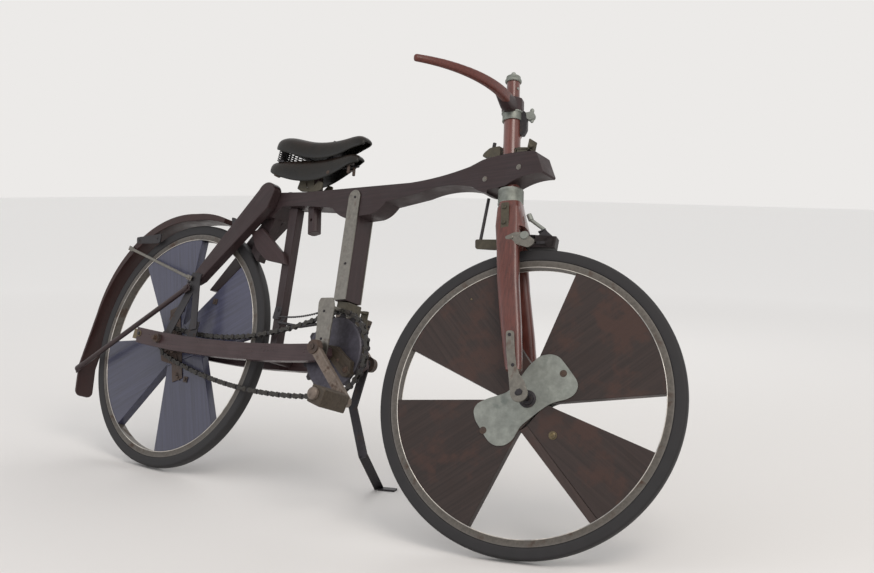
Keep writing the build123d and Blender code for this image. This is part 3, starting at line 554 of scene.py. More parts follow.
def eased(node, name, skin, ease, segments=2):
    """A copy of a CAD node's shape with its edges rounded by hand wear, in millimetres."""
    mesh = bmesh.new()
    mesh.from_mesh(frame["nodes"][node].data)
    shape = {"guard": bulged, "stand": straightened}.get(node)
    for v in mesh.verts if shape else ():
        v.co = BIKE @ shape(BIKE.inverted() @ v.co)
    bmesh.ops.remove_doubles(mesh, verts=mesh.verts, dist=2e-6)
    bmesh.ops.dissolve_limit(
        mesh, angle_limit=radians(1), verts=mesh.verts, edges=mesh.edges)
    ease_edges(mesh, ease * MM, segments)
    finish(name, mesh, skin, node)


def row(direction, node="beam"):
    """A direction of a node's own frame, in the row's frame."""
    return (own(node).to_3x3() @ Vector(direction)).normalized()


def polar(r, deg):
    return (r * cos(radians(deg)), r * sin(radians(deg)))


class BicycleStep:
    bl_options = {"REGISTER", "UNDO"}


class BICYCLE_OT_tyres(BicycleStep, bpy.types.Operator):
    """Solid rubber tyre with a worn tread on each wheel"""

    bl_idname = "bicycle.tyres"
    bl_label = "Tyres"

    def execute(self, context):
        worn = size("tread_round")
        profile = mirrored([
            (328, 12.5), (331, 14.4), (336, 15), (349, 15), (353, 14),
            (355.4 - worn * 0.1, 11), (356.4, 5),
        ])
        skin = perished_rubber("perished_rubber", hue("rubber"))
        for tag in WHEELS:
            piece(tag + "_tyre_tread", skin, tag + "_tyre", 0,
                  (lathe, profile, 180), sharp=60)
        return {"FINISHED"}


class BICYCLE_OT_rims(BicycleStep, bpy.types.Operator):
    """Painted steel rim with a bare lip along each edge"""

    bl_idname = "bicycle.rims"
    bl_label = "Rims"

    def execute(self, context):
        lip = size("lip")
        turns = [radians(45 * k) for k in range(8)]
        profile = mirrored([
            (328, 12.9), (324, 13.6), (316, 13.2), (313, 13.8), (312, 13.2),
            (311.7, 11.5), (312.2, 10.5),
        ])
        for tag in WHEELS:
            piece(tag + "_rim_channel", "rim", tag + "_rim", 0,
                  (lathe, profile, 180), sharp=50)
            detail(tag + "_rim_lips", "bare", tag + "_rim", 0, *(
                (lathe, [(312.2 + lip * cos(t), s * 13.5 + lip * sin(t)) for t in turns],
                 180) for s in SIGNS), sharp=80)
        return {"FINISHED"}


# Fans of each wheel, in millimetres from its hub: degrees at the rim where the fan starts and
# ends, then its corners from the end of the arc back to the start, and its board and shade
FANS = {
    "rear": (
        ("a", 90.9, 136.5, ((-100, 66), (-55, 10), (-18, -68), (115, -12), (5, 60)), 1),
        ("a", 273.7, 318.6, ((123, -25), (115, -12), (-18, -68), (-15, -81)), 0.85),
        ("b", 10, 51.3, ((16, 60), (5, 60), (115, -12)), 1.1),
        ("b", 184.4, 236, ((-21, -66), (-18, -68), (-55, 10)), 0.9),
    ),
    "front": (
        ("a", 13.6, 82.6, ((3, 103), (-5, 75), (-50, -10), (0, -72), (42, -1), (64, 6)), 1),
        ("a", 191.5, 258, ((-4, -75), (0, -72), (-50, -10), (-123, -25)), 0.95),
        ("b", 111, 168.6, ((-75, -3), (-50, -10), (-5, 75), (-52, 121)), 1.05),
        ("b", 313.9, 349.4, ((67, -8), (42, -1), (13, -59)), 1),
        ("b", 310.5, 313.8, ((13, -59), (0, -72), (1, -74)), 1.35),
    ),
}


class BICYCLE_OT_boards(BicycleStep, bpy.types.Operator):
    """Fans of boards that fill each wheel, with the brass bolt of one"""

    bl_idname = "bicycle.boards"
    bl_label = "Wheel boards"

    def execute(self, context):
        # Each wheel's colour, gloss, sheen and blotches
        looks = {
            # The rear boards' colour is dark varnish with a painted blue reflection
            "rear": ("rear_board", 0.3, 0.7, None),
            "front": ("front_board", 0.45, 0.15, hue("board_blotch")),
        }
        for tag in WHEELS:
            tone, gloss, sheen, blotch = looks[tag]
            for i, (half, start, end, corners, shade) in enumerate(FANS[tag], 1):
                steps = max(2, round((end - start) / 4))
                arc = [polar(RIM_R, start + (end - start) * k / steps) for k in range(steps + 1)]
                x, z = polar(1, (start + end) / 2)
                skin = varnished_hardwood(
                    "%s_board_varnish_%d" % (tag, i), hue(tone, shade),
                    row((x, 0, z), tag + "_rim"), gloss, 0.4, 7, 80, sheen, blotch,
                )
                piece("%s_fan_%d" % (tag, i), skin, "%s_boards_%s" % (tag, half),
                      size("board_edge"), (slab, arc + list(corners), -BOARD_Y, BOARD_Y))
        detail("front_board_bolt", "brass", "front_boards_b", 0.6,
               (ball, (-192, -13, 205), 3, (1, 0.4, 1), 1),
               *((bolt, (76, s * BOARD_Y, -68), 7, 4, 10) for s in SIGNS))
        return {"FINISHED"}


# Outline of the front hub's sheet plate
WASP = (
    (-15, 77), (4, 103), (29, 112), (49, 109), (71, 91), (102, 63), (108, 48), (103, 30), (87, 16),
    (65, 7), (48, -5), (29, -26), (-1, -63), (-12, -99), (-27, -114), (-49, -119), (-68, -111),
    (-86, -93), (-109, -71), (-119, -49), (-114, -33), (-93, -17), (-71, -6), (-49, 7), (-28, 47),
)


class BICYCLE_OT_hubs(BicycleStep, bpy.types.Operator):
    """Hub barrels with their clamping plates, bolts and cups"""

    bl_idname = "bicycle.hubs"
    bl_label = "Hubs"

    def execute(self, context):
        barrel = mirrored([
            (6.4, 24), (13, 24), (14.5, 22.6), (15, 19), (20, 17.5), (20, 13)])
        # The front barrel takes the dark iron as painted shade, for the shade that falls on it
        for tag, skin in zip(WHEELS, ("rusty", "iron")):
            piece(tag + "_hub_barrel", skin, tag + "_hub", 0.6, (lathe, barrel, 40))
        for label, s in SIDES:
            detail("front_hub_plate_" + label, "zinc", "front_hub", 0.8,
                   (slab, WASP, s * BOARD_Y, s * 15.5, 8, 3))
            detail("front_hub_bolts_" + label, "rusty", "front_hub", 0.5, *(
                (bolt, (x, s * 15.3, z), 6, 2, 12) for x, z in ((67, 73), (-84, -90))))
        for label, s, deg in (("left", 1, 32), ("right", -1, 114)):
            x, z = polar(1, deg)
            detail("rear_hub_clamp_" + label, "rusty", "rear_hub", 0.7,
                   (bar, (-112 * x, s * 14.5, -112 * z), (112 * x, s * 14.5, 112 * z), 42, 3,
                    (-z, 0, x)),
                   *((bolt, (u * x, s * 16, u * z), 5) for u in (-95, 95)))
        piece("front_axle_turned", "iron", "front_axle", 0.5,
              (rod, (0, -90, 0), (0, 90, 0), 6, 20),
              *((rod, (0, s * 87, 0), (0, s * 91, 0), 8, 6) for s in SIGNS), where=FRONT)
        nuts = []
        for x, z in ((-12, 103), (80, -96), (47, -94), (123, 135)):
            nuts += [(bar, (x - 8, -14, z), (x + 8, -14, z), 5, 16),
                     (bolt, (x, -16, z), 5, None, 6, False)]
        detail("rear_hub_nuts", "rusty", "rear_hub", 0.6,
               (slab, [(-54, -40), (-48, -22), (18, -30), (30, -51), (22, -62), (-44, -56)],
                -14, -18, 5), *nuts)
        detail("chainstay_cap", "brass", "chainstay_right", 1.2,
               (bar, (-104, -70, 4), (-122, -70, 5), 18, 28),
               (rod, (-90, -80, 6), (-90, -84, 6), 9, 24), where=REAR)
        detail("chainstay_bolt", "black", "chainstay_right", 0.5,
               (bolt, (-90, -83, 6), 6, 3, 6, False), where=REAR)
        detail("rear_hub_knob", "rusty", "rear_hub", 0.6,
               (rod, (-40, -24, 69), (-40, -14, 69), 9, 6))
        detail("rear_hub_cup", "rusty", "rear_hub", 0.8,
               (lathe, [(16, -17), (16, -26), (24, -28), (24, -31), (6.3, -31), (6.3, -17)]))
        return {"FINISHED"}


# Node, way of the grain, edge rounding as a part of the timber edge, varnish, brightness, gloss
TIMBER = (
    ("beam", (1, 0, 0.13), 1, "dark", 1, 0.42),
    ("post", (32, 0, -264), 0.6, "dark", 1.1, 0.35),
    ("seat_post", (53, 0, -176), 0.4, "dark", 1.15, 0.4),
    ("strut", (60, 0, -400), 0.6, "dark", 0.95, 0.4),
    ("gusset", (1, 0, -0.6), 0.4, "dark", 1.25, 0.55),
    ("hanger", (0, 0, 1), 0.4, "dark", 0.7, 0.5),
    ("seat_stay_right", (230, 0, 292), 1, "dark", 1.1, 0.4),
    ("seat_stay_left", (230, 0, 292), 1, "dark", 1, 0.4),
    ("chainstay_right", (652, 0, 35), 1.9, "dark", 1.6, 0.22),
    ("chainstay_left", (652, 0, 35), 1.9, "dark", 1.4, 0.25),
    ("guard", (-0.6, 0, -0.8), 0.4, "guard", 1, 0.3),
    ("bar_block", (0, 0, 1), 0.6, "dark", 1.2, 0.35),
    ("handlebar_right", (0.5, -0.85, 0), 1.2, "red", 1, 0.28),
    ("handlebar_left", (0.5, 0.85, 0), 1.2, "red", 1, 0.28),
    ("brake_shoe", (1, 0, 0), 0.4, "dark", 0.4, 0.5),
)


class BICYCLE_OT_timber(BicycleStep, bpy.types.Operator):
    """Beam, posts, stays, guard and handlebars, with hand-worn edges and varnished grain"""

    bl_idname = "bicycle.timber"
    bl_label = "Timber"

    def execute(self, context):
        for node, along, part, tone, bright, gloss in TIMBER:
            skin = varnished_hardwood(
                node + "_varnish", hue(tone + "_varnish", bright), row(along, node), gloss)
            eased(node, node + "_carved", skin, size("timber_edge") * part, 3 if part > 0.9 else 2)
        return {"FINISHED"}


# Outline of the straps that carry the front axle
DROP_STRAP = (
    (21, 129), (23, 81), (27, 48), (32, 4), (34, -14), (54, -34), (74, -15), (66, 12), (56, 25),
    (47, 47), (43, 80), (40, 128),
)

# Node, metal, edge rounding in millimetres
IRONWORK = (
    ("strap_right", "strap", 1.2), ("strap_left", "strap", 1.2), ("fork_end_right", "black", 0.8),
    ("fork_end_left", "black", 0.8), ("rear_axle", "rusty", 0.8), ("crank_axle", "iron", 0.8),
    ("stand", "iron", 1.4),
)


class BICYCLE_OT_ironwork(BicycleStep, bpy.types.Operator):
    """Straps, brackets, axles and stand of forged iron, with their bolts"""

    bl_idname = "bicycle.ironwork"
    bl_label = "Ironwork"

    def execute(self, context):
        for node, skin, ease in IRONWORK:
            eased(node, node + "_forged", skin, ease)
        rivet = size("bolt") * 0.6
        for label, s in SIDES:
            detail("strap_rivets_" + label, "iron", "strap_" + label, 0.3, *(
                (bolt, (x, s * 31.6, z), rivet, 1.6, 12, False)
                for x, z in ((591, 806), (613, 626))))
            detail("bracket_holes_" + label, "iron", "bracket_" + label, 0.3, *(
                (bolt, (x, s * 85.8, z), rivet, 1.4, 12, False)
                for x, z in ((634, 487), (646, 416))))
        piece("bracket_right_forged", "strap", "bracket_right", 0.8,
              (slab, [(607, 508), (611, 520), (655, 524), (664, 505), (676, 400), (676, 376),
                      (632, 376), (629, 403)], -86, -82, 4),
              (bar, (630, -26, 502), (630, -84, 502), 34, 8, (1, 0, 0)))
        piece("bracket_left_forged", "olive", "bracket_left", 0.8,
              (slab, [(600, 527), (600, 508), (632, 376), (640, 369), (652, 369), (658, 378),
                      (624, 508), (624, 527)], 82, 86, 3),
              (bar, (612, 24, 520), (612, 84, 520), 22, 4, (1, 0, 0)))
        detail("bottom_block", "olive", "bracket_left", 1.5,
               (slab, [(610, 494), (608, 528), (650, 527), (652, 496)], -22, 27, 3))
        detail("strut_plate", "black", "strut", 0.6,
               (slab, [(378, 461), (380, 497), (405, 495), (404, 461)], -17, -20, 4),
               *((bolt, (x, -20, z), 4, 2) for x, z in ((394, 487), (400, 469))))
        detail("bead_chain", "black", "chain", 0,
               *((ball, (420 + u, CHAIN_Y, 467 + 0.0011 * u ** 2), 3.1, (1.35, 1, 1), 1)
                 for u in (7.5 * i for i in range(19))),
               (rod, (424, CHAIN_Y, 451), (507, CHAIN_Y, 447), 4),
               (rod, (507, CHAIN_Y, 447), (566, CHAIN_Y, 459), 4),
               (rod, (426, CHAIN_Y, 448), (420, -16, 470), 4),
               (rod, (566, CHAIN_Y, 459), (600, -26, 500), 4),
               (rod, (555, CHAIN_Y, 487), (600, -26, 505), 2.5))
        return {"FINISHED"}


# Height, forward place and half width at each station of a fork blade
BLADE = (
    (448, 3, 27), (400, 4, 29.5), (345, 7.5, 26.5), (259, 13, 26), (145, 26, 24), (50, 36.5, 19.5),
    (40, 37.5, 18),
)


def blade(mesh, s):
    """A fork blade on one side. It leans out, and its shoulder is let into the crown."""
    loft(mesh, [
        ((x, s * (27 + 45 * (462 - z) / 422 - max(0, (z - 330) / 22)), z), half, 13.5)
        for z, x, half in BLADE
    ])


class BICYCLE_OT_fork(BicycleStep, bpy.types.Operator):
    """Fork blades grown from a shouldered crown, with their drop straps"""

    bl_idname = "bicycle.fork"
    bl_label = "Fork"

    def execute(self, context):
        skin = varnished_hardwood(
            "fork_varnish", hue("red_varnish"), row((0.05, 0, 1), "fork"), 0.25, 0.3, 4, 55, 0.6)
        crown = [((3, 0, 464), 27, 31), ((3, 0, 450), 29, 36), ((6, 0, 425), 32, 40),
                 ((9, 0, 396), 36, 42)]
        piece("fork_carved", skin, "fork", 0,
              (loft, crown), *((blade, s) for s in SIGNS), sharp=50)
        for label, s in SIDES:
            piece("drop_strap_forged_" + label, "strap", "drop_strap_" + label, 1,
                  (slab, DROP_STRAP, s * 84, s * 88, 6, 3),
                  (rod, (54, s * 82, -15), (54, s * 88.5, -15), 20, 40))
            detail("drop_strap_rivets_" + label, "iron", "drop_strap_" + label, 0.3, *(
                (bolt, (x, s * 87.6, z), r, 1.8, 12, False)
                for x, z, r in ((30, 119, 4), (39, 49, 4), (51, -15, 6))))
        return {"FINISHED"}


def deck(mesh, stations, wall):
    """An arched sheet of leather through stations of (x, half width, crown, skirt)."""
    rows = []
    for x, w, crown, skirt in stations:
        ring = []
        for deg in range(-90, 91, 15):
            side, rise = sin(radians(deg)), cos(radians(deg))
            y = w * copysign(abs(side) ** 0.7, side)
            low = skirt + SKIRT_LIFT * max(0, side)
            ring.append(mesh.verts.new((x, y, low + (crown - low) * rise ** 0.55)))
        rows.append([mesh.edges.new(pair) for pair in zip(ring, ring[1:])])
    for a, b in zip(rows, rows[1:]):
        bmesh.ops.bridge_loops(mesh, edges=a + b)
    bmesh.ops.recalc_face_normals(mesh, faces=mesh.faces)
    if sum(f.normal.z for f in mesh.faces) < 0:
        bmesh.ops.reverse_faces(mesh, faces=mesh.faces)
    bmesh.ops.solidify(mesh, geom=mesh.faces[:], thickness=wall)


# Stations of the two decks, and the outline of the clamp below them
UPPER_DECK = (
    (262, 42, 952, 938), (266, 56, 963, 930), (280, 65, 971, 926), (306, 68, 974, 920),
    (338, 63, 970, 914), (375, 50, 964, 908), (420, 37, 965, 908), (465, 30, 971, 918),
    (500, 27, 979, 932), (528, 26, 986, 946), (548, 23, 984, 952), (557, 19, 978, 957),
    (561, 13, 970, 960),
)
LOWER_DECK = (
    (256, 42, 890, 876), (262, 56, 897, 866), (276, 66, 901, 858), (304, 70, 904, 850),
    (340, 60, 908, 842), (385, 46, 912, 840), (430, 34, 917, 848), (468, 28, 924, 864),
    (500, 26, 931, 882), (524, 24, 934, 899), (538, 20, 932, 905), (547, 16, 927, 908),
    (551, 11, 920, 910),
)
CLAMP = (
    (352, 828), (356, 852), (380, 850), (386, 832), (398, 826), (410, 832), (428, 852), (446, 848),
    (446, 826), (428, 820), (372, 820),
)


class BICYCLE_OT_saddle(BicycleStep, bpy.types.Operator):
    """Two leather decks with their coil springs, clamp, knobs and studs"""

    bl_idname = "bicycle.saddle"
    bl_label = "Saddle"

    def execute(self, context):
        skin = saddle_leather("saddle_leather", hue("leather"), hue("worn_leather_and_sheen"))
        for node, name, stations in (
            ("saddle_top", "saddle_upper_deck", UPPER_DECK),
            ("saddle_base", "saddle_lower_deck", LOWER_DECK),
        ):
            mesh = bmesh.new()
            deck(mesh, stations, size("leather"))
            bmesh.ops.transform(mesh, matrix=BIKE, verts=mesh.verts)
            finish(name, mesh, skin, node, soft=2)
        wire = size("wire")
        piece("saddle_coil_springs", "iron", "saddle_springs", 0, *(
            (coil, (276 + 0.006 * y * y, y, 893), 7.5, wire, 7, 42)
            for y in (-54 + 13.5 * i for i in range(9))), sharp=70)
        detail("saddle_bearers", "black", "saddle_springs", 1.5,
               (bar, (440, 0, 896), (452, 0, 968), 30, 20),
               (bar, (302, 0, 892), (302, 0, 898), 118, 20),
               (bar, (302, 0, 930), (302, 0, 936), 118, 20),
               *((rod, (300, s * 20, 890), (535, s * 10, 905), 4) for s in SIGNS))
        detail("saddle_clamp", "olive", "seat_post", 0.8,
               *((slab, CLAMP, y, y + 4, 3) for y in (-22, 18)),
               *((bar, (384, s * 17, 884), (402, s * 17, 826), 3, 26) for s in SIGNS))
        studs = []
        for s in SIGNS:
            up = SKIRT_LIFT * (1 + s) / 2
            studs += [(rod, (300, s * 50, 858 + up), (300, s * 66, 856 + up), 9, 20, 7),
                      (bolt, (463, s * 28, 874 + up), 4, 2),
                      (bolt, (518, s * 11, 902), 4.5, 24, 6, False, (0.2, 0, -1))]
        detail("saddle_knobs_and_studs", "rusty", "saddle_base", 1, *studs,
               (rod, (520, -11, 884), (546, -10, 884), 2, 8))
        return {"FINISHED"}


class BICYCLE_OT_head(BicycleStep, bpy.types.Operator):
    """Steerer, galvanised ferrule, notched band with its wing nut, post, cap and knob"""

    bl_idname = "bicycle.head"
    bl_label = "Steering head"

    def execute(self, context):
        up = facing((0, 0, 0), (0, 0, 1))
        glossy = varnished_hardwood(
            "steerer_varnish", hue("red_varnish", 1.05), row((0, 0, 1), "steerer"),
            0.2, 0.3, 5, 50, 0.8)
        piece("steerer_turned", glossy, "steerer", 0,
              (lathe, [(0, 496), (21, 496), (21, 682), (0, 682)], 40, up, False))
        piece("ferrule_sheet", "zinc", "ferrule", 0,
              (lathe, [(24, 462), (30, 462), (31, 464.5), (30.2, 467), (30, 493), (31, 496),
                       (30, 500), (21.2, 501), (21.2, 470), (24, 466)], 48, up),
              (bar, (30, 4, 464), (30, 4, 498), 4, 2))
        piece("band_and_wing_nut", "zinc", "bar_clamp", 0.8,
              (lathe, [(21, 680), (25, 680), (25.6, 682), (24.8, 684), (24.8, 699), (26.6, 700),
                       (26.6, 704), (21, 704)], 48, up),
              *((bar, (x, y, 699.5), (x, y, 704.5), 2.6, 2.6, (x, y, 0))
                for x, y in (polar(26, 15 * k) for k in range(24))),
              (bar, (22, 0, 692), (42, 0, 692), 9, 18),
              (rod, (46, -7, 690), (46, 7, 690), 11, 24),
              (ball, (49, 0, 704), 7, (0.8, 0.55, 1.1)),
              (ball, (49, 0, 678), 6, (0.8, 0.55, 1)))
        detail("band_bracket", "black", "bar_clamp", 0.8,
               (slab, [(20, 702), (32, 704), (38, 690), (38, 655), (30, 640), (20, 642)], -7, 7, 3))
        detail("beam_bracket", "olive", "beam", 0.8,
               (bar, (1067, 0, 944), (1107, 0, 944), 30, 4),
               (bar, (1105, 0, 942), (1105, 0, 969), 30, 4),
               (bar, (1069, 0, 930), (1069, 0, 946), 30, 4),
               *((bar, (1088, s * 12, 926), (1088, s * 12, 948), 30, 4, (1, 0, 0)) for s in SIGNS))
        detail("beam_bolts", "strap", "beam", 0.5, *(
            (bolt, (x, s * 28, z), 5, 2) for s in SIGNS for x, z in ((1101, 893), (1007, 862))))
        detail("beam_hinge", "olive", "beam", 1,
               (slab, [(968, 925), (970, 934), (986, 948), (1017, 953), (1022, 931), (1020, 922)],
                -10, 10, 4))
        detail("beam_hinge_pin", "black", "beam", 1,
               (rod, (990, 0, 944), (990, 0, 964), 4.5))
        wedge = varnished_hardwood(
            "bar_root_varnish", hue("dark_varnish"), row((0, 1, 0), "bar_block"), 0.35)
        detail("handlebar_roots", wedge, "bar_block", 0, *(
            (loft, [((0, s * 8, 716), 20, 18), ((-4, s * 40, 716), 17, 20),
                    ((-9, s * 84, 722), 12, 8)], True) for s in SIGNS), sharp=50)
        piece("bar_post_turned", glossy, "bar_post", 0,
              (lathe, [(0, 730), (18, 730), (16.5, 745), (16.2, 786), (0, 786)], 40, up, False))
        detail("bar_cap", "zinc", "bar_post", 0.8,
               (lathe, [(0, 785), (19, 785), (20.5, 787), (20.5, 791), (18, 796), (17.5, 801),
                        (13, 803), (0, 803)], 40, up, False),
               (rod, (0, 0, 802), (0, 0, 808), 8.5, 6), (ball, (0, 0, 809), 6),
               (bolt, (14, -9, 764), 3.6, 2, 8, False, (0.85, -0.5, 0)))
        return {"FINISHED"}


class BICYCLE_OT_brake(BicycleStep, bpy.types.Operator):
    """Front brake: cheek plates and arms, cross rod, link, lug and the shoe's bracket"""

    bl_idname = "bicycle.brake"
    bl_label = "Brake"

    def execute(self, context):
        plate = ((-10, 381), (-10, 454), (9, 454), (9, 381))
        arm = ((2, 367), (6, 358), (30, 346), (57, 336), (70, 342), (74, 353), (57, 367),
               (43, 375), (26, 376))
        for label, s in SIDES:
            detail("fork_cheek_" + label, "olive", "fork_plate_" + label, 0.7,
                   (slab, plate, s * 41, s * 45, 3),
                   *((bolt, (x, s * 45, z), 6, 3, 6, False) for x, z in ((-2, 443), (-3, 405))))
            piece("fork_plate_forged_" + label, "strap", "fork_plate_" + label, 0.7,
                  (slab, arm, s * 45, s * 50, 4), (bolt, (18, s * 50, 364), 5, 2, 12, False))
        piece("brake_rod_turned", "zinc", "brake_rod", 0.6,
              (rod, (49, -52, 366), (49, 52, 366), 6, 24),
              *((rod, (49, s * 49, 366), (49, s * 54, 366), 11, 24, 9) for s in SIGNS),
              (rod, (49, 0, 424), (85, 0, 394), 4.5), (rod, (46, 0, 436), (52, 0, 421), 6.5))
        detail("brake_bracket", "black", "brake_rod", 0.8,
               *((slab, [(66, 351), (72, 376), (89, 391), (114, 366), (107, 345)], y, y + 3, 4)
                 for y in (-14, 11)),
               (bar, (72, 0, 386), (90, 0, 392), 26, 3), (bar, (49, 0, 366), (72, 0, 366), 24, 8))
        piece("brake_lug_sheet", "olive", "brake_lug", 0.6,
              (slab, [(-96, 396), (-45, 392), (-20, 392), (-20, 368), (-44, 365), (-95, 372)],
               33, 37, 5))
        detail("brake_lug_rod", "black", "brake_lug", 0,
               (rod, (-67, 42, 502), (-86, 42, 388), 4, 14))
        return {"FINISHED"}


def chain_line():
    """The pitch points of the closed chain: even steps round the ring and the cog."""
    ring, cog = (PITCH / 2 / sin(pi / links) for links in (RING_LINKS, COG_LINKS))
    reach = hypot(BB[0], BB[1] - WHEEL_R)
    slope = atan2(BB[1] - WHEEL_R, BB[0])
    lean = asin((ring - cog) / reach)
    up, down = slope + lean + pi / 2, slope - lean - pi / 2
    tip_top, tip_low = 4 * SLACK_TOP / reach, 4 * SLACK_LOW / reach
    n = 60

    def arc(centre, r, start, end):
        turns = (start + (end - start) * i / n for i in range(n + 1))
        return [Vector(centre) + Vector((r * cos(t), r * sin(t))) for t in turns]

    def hang(a, b, slack):
        return [a.lerp(b, i / n) - Vector((0, 4 * slack * i / n * (1 - i / n))) for i in range(n)]

    big = arc(BB, ring, up + tip_top, down + tip_low)
    small = arc((0, WHEEL_R), cog, down - tip_low, up - tip_top - 2 * pi)
    path = big[:-1] + hang(big[-1], small[0], SLACK_LOW)
    path += small[:-1] + hang(small[-1], big[0], SLACK_TOP)
    steps = [(b - a).length for a, b in zip(path, path[1:] + path[:1])]
    count = 2 * round(sum(steps) / PITCH / 2)
    points, i, before = [], 0, 0
    for k in range(count):
        want = sum(steps) * k / count
        while before + steps[i] < want:
            before += steps[i]
            i += 1
        points.append(path[i].lerp(path[(i + 1) % len(path)], (want - before) / steps[i]))
    return points


class BICYCLE_OT_chain(BicycleStep, bpy.types.Operator):
    """Block chain: solid waisted blocks, a pair of plates from each to the next, and rivets"""

    bl_idname = "bicycle.chain"
    bl_label = "Chain"

    def execute(self, context):
        points = chain_line()
        blocks, plates = [], []
        tall = size("plate")
        for i, (a, b) in enumerate(zip(points, points[1:] + points[:1])):
            if i % 2:
                blocks += [(rod, (p.x, CHAIN_Y - 3.4, p.y), (p.x, CHAIN_Y + 3.4, p.y), 6.2, 10)
                           for p in (a, b)]
                blocks.append((bar, (a.x, CHAIN_Y, a.y), (b.x, CHAIN_Y, b.y), 6.4, 8))
                continue
            for s in SIGNS:
                near, far = CHAIN_Y + s * 3.5, CHAIN_Y + s * 5.6
                middle = (near + far) / 2
                for p in (a, b):
                    plates += [(rod, (p.x, near, p.y), (p.x, far, p.y), tall, 12, tall * 0.93),
                               (rod, (p.x, far, p.y), (p.x, far + s * 1.2, p.y), 2.6, 8, 1.6)]
                plates.append((bar, (a.x, middle, a.y), (b.x, middle, b.y), 1.8, tall * 1.1))
        piece("chain_blocks", "black", "chain", 0, *blocks, sharp=40)
        detail("chain_plates", "link", "chain", 0, *plates, sharp=40)
        return {"FINISHED"}


class BICYCLE_OT_drive(BicycleStep, bpy.types.Operator):
    """Chainwheel with its dished disc, the cog, the crank block, cranks and pedals"""

    bl_idname = "bicycle.drive"
    bl_label = "Drive"

    def execute(self, context):
        eased("chainwheel", "chainwheel_teeth", "iron", 0.7)
        eased("cog", "cog_teeth", "rusty", 0.7)
        profile = mirrored([
            (9, 8), (20, 8), (22, 5), (30, 3.6), (84, 3.6), (88, 5.4), (92, 5), (94, 2.4)])
        detail("chainwheel_disc", "disc", "chainwheel", 0,
               (lathe, profile, 96, Matrix.Translation((BB[0], CHAIN_Y, BB[1]))))
        block = varnished_hardwood(
            "crank_block_paint", hue("block", 0.9), row((0.8, 0, -0.5)), 0.5, 0.5, 6, 30, 0.1)
        eased("crank_block", "crank_block_carved", block, 6, 3)
        detail("crank_block_bolts", "rusty", "crank_block", 0.5,
               (bolt, (719, -51.5, 352), 8, 3, 16), (bolt, (686, -51.5, 372), 4, 2, 12))
        x, z = polar(1, PEDAL_DEG)
        tread = varnished_hardwood(
            "pedal_block_paint", hue("block"), row((x, 0, z)), 0.55, 0.6, 5, 30, 0.1)
        for label, s in SIDES:
            eased("crank_" + label, "crank_arm_" + label, "crank", 3, 3)
            x, z = polar(CRANK_LEN, CRANK_DEG if s < 0 else CRANK_DEG + 180)
            x, z = x + BB[0], z + BB[1]
            detail("crank_boss_" + label, "rusty", "crank_" + label, 0.6,
                   (rod, (BB[0], s * 98, BB[1]), (BB[0], s * 115, BB[1]), 21, 32, 18),
                   (bolt, (BB[0], s * 114, BB[1]), 8, 4), (bolt, (x, s * 111, z), 7, 2.5))
            piece("pedal_block_" + label, tread, "pedal_" + label, 3.5,
                  (bar, (x - 2, s * 117, z - 5), (x - 2, s * 206, z - 5), 46, 44, (0.97, 0, -0.2)),
                  segments=3)
            detail("pedal_knob_" + label, "crank", "pedal_" + label, 0,
                   (lathe, [(0, 0), (13, 0), (15, 2), (15, 9), (12, 13), (6, 15), (0, 15.5)], 32,
                    facing((x - 8, s * 204, z - 2), (0, s, 0)), False))
        return {"FINISHED"}


class BICYCLE_OT_guard_stays(BicycleStep, bpy.types.Operator):
    """Round stays of the rear guard, with flattened ends and bolts"""

    bl_idname = "bicycle.guard_stays"
    bl_label = "Guard stays"

    def execute(self, context):
        for node, a, b, r, skin in (
            ("guard_stay_upper", (50, -66, 541), (-290, -35, 607), 4.6, "strap"),
            ("guard_stay_lower", (55, -69, 512), (-406, -38, 231), 7.5, None),
        ):
            a, b = Vector(a), bulged(Vector(b))
            run = (b - a).normalized()
            ends = []
            for p, sign in ((a, 1), (b, -1)):
                ends += [(bar, p - run * sign * 9, p + run * sign * 16, 3.4, r * 3),
                         (bolt, p - Vector((0, 1.6, 0)), r * 0.9)]
            skin = skin or varnished_hardwood(
                "lower_stay_varnish", hue("dark_varnish", 1.1), row(run), 0.35)
            piece(node + "_round", skin, node, 1, (rod, a, b, r, 20), *ends)
        return {"FINISHED"}


class BICYCLE_OT_guard_fittings(BicycleStep, bpy.types.Operator):
    """Bracket, box and bolt of the rear guard"""

    bl_idname = "bicycle.guard_fittings"
    bl_label = "Guard fittings"

    def execute(self, context):
        detail("guard_fittings", "black", "guard", 0.8,
               (slab, [(-295, 302), (-180, 318), (-176, 290), (-287, 282)], -31, -27, 5),
               (slab, [(120, 380), (136, 379), (167, 357), (134, 350)], -30, -26, 4),
               *((bolt, (x, -30.5, z), 4, 1.5, 12, False) for x, z in ((-279, 294), (-194, 303))),
               where=REAR)
        return {"FINISHED"}


# Half the floor's length in metres, its colour near the bicycle and beyond, from and to metres
FLOOR, PAPER, PAPER_SPAN = 30, ("dedcda", "f6f5f4"), (0.8, 6)

# The sky's light, its strength, and the background that is seen
SKY, SKY_STRENGTH, BACKDROP = "f4f3f2", 0.9, "eceae8"

# Lamps: place and size in metres, watts, colour, and the point that they light
LAMPS = (
    ("key", (2.6, -1.2, 3.2), 1.6, 42, "fff6ee"),
    ("side", (-1.6, -3.4, 1.9), 1.8, 14, "eef0ff"),
    ("back", (-1.5, 2.8, 2.6), 1.5, 15, "ffffff"),
)
LIT = Vector((0, 0, 0.5))

# The camera as fitted to the photograph: its aim in metres, its turn, tip and roll in degrees,
# its distance in metres, and its lens and sensor in millimetres
AIM = Vector((0.492414, -0.213130, 0.590205))
CAMERA = (40.6326, 5.2084, 0.6484)
DISTANCE, LENS, SENSOR = 2.80519, 51.46, 36


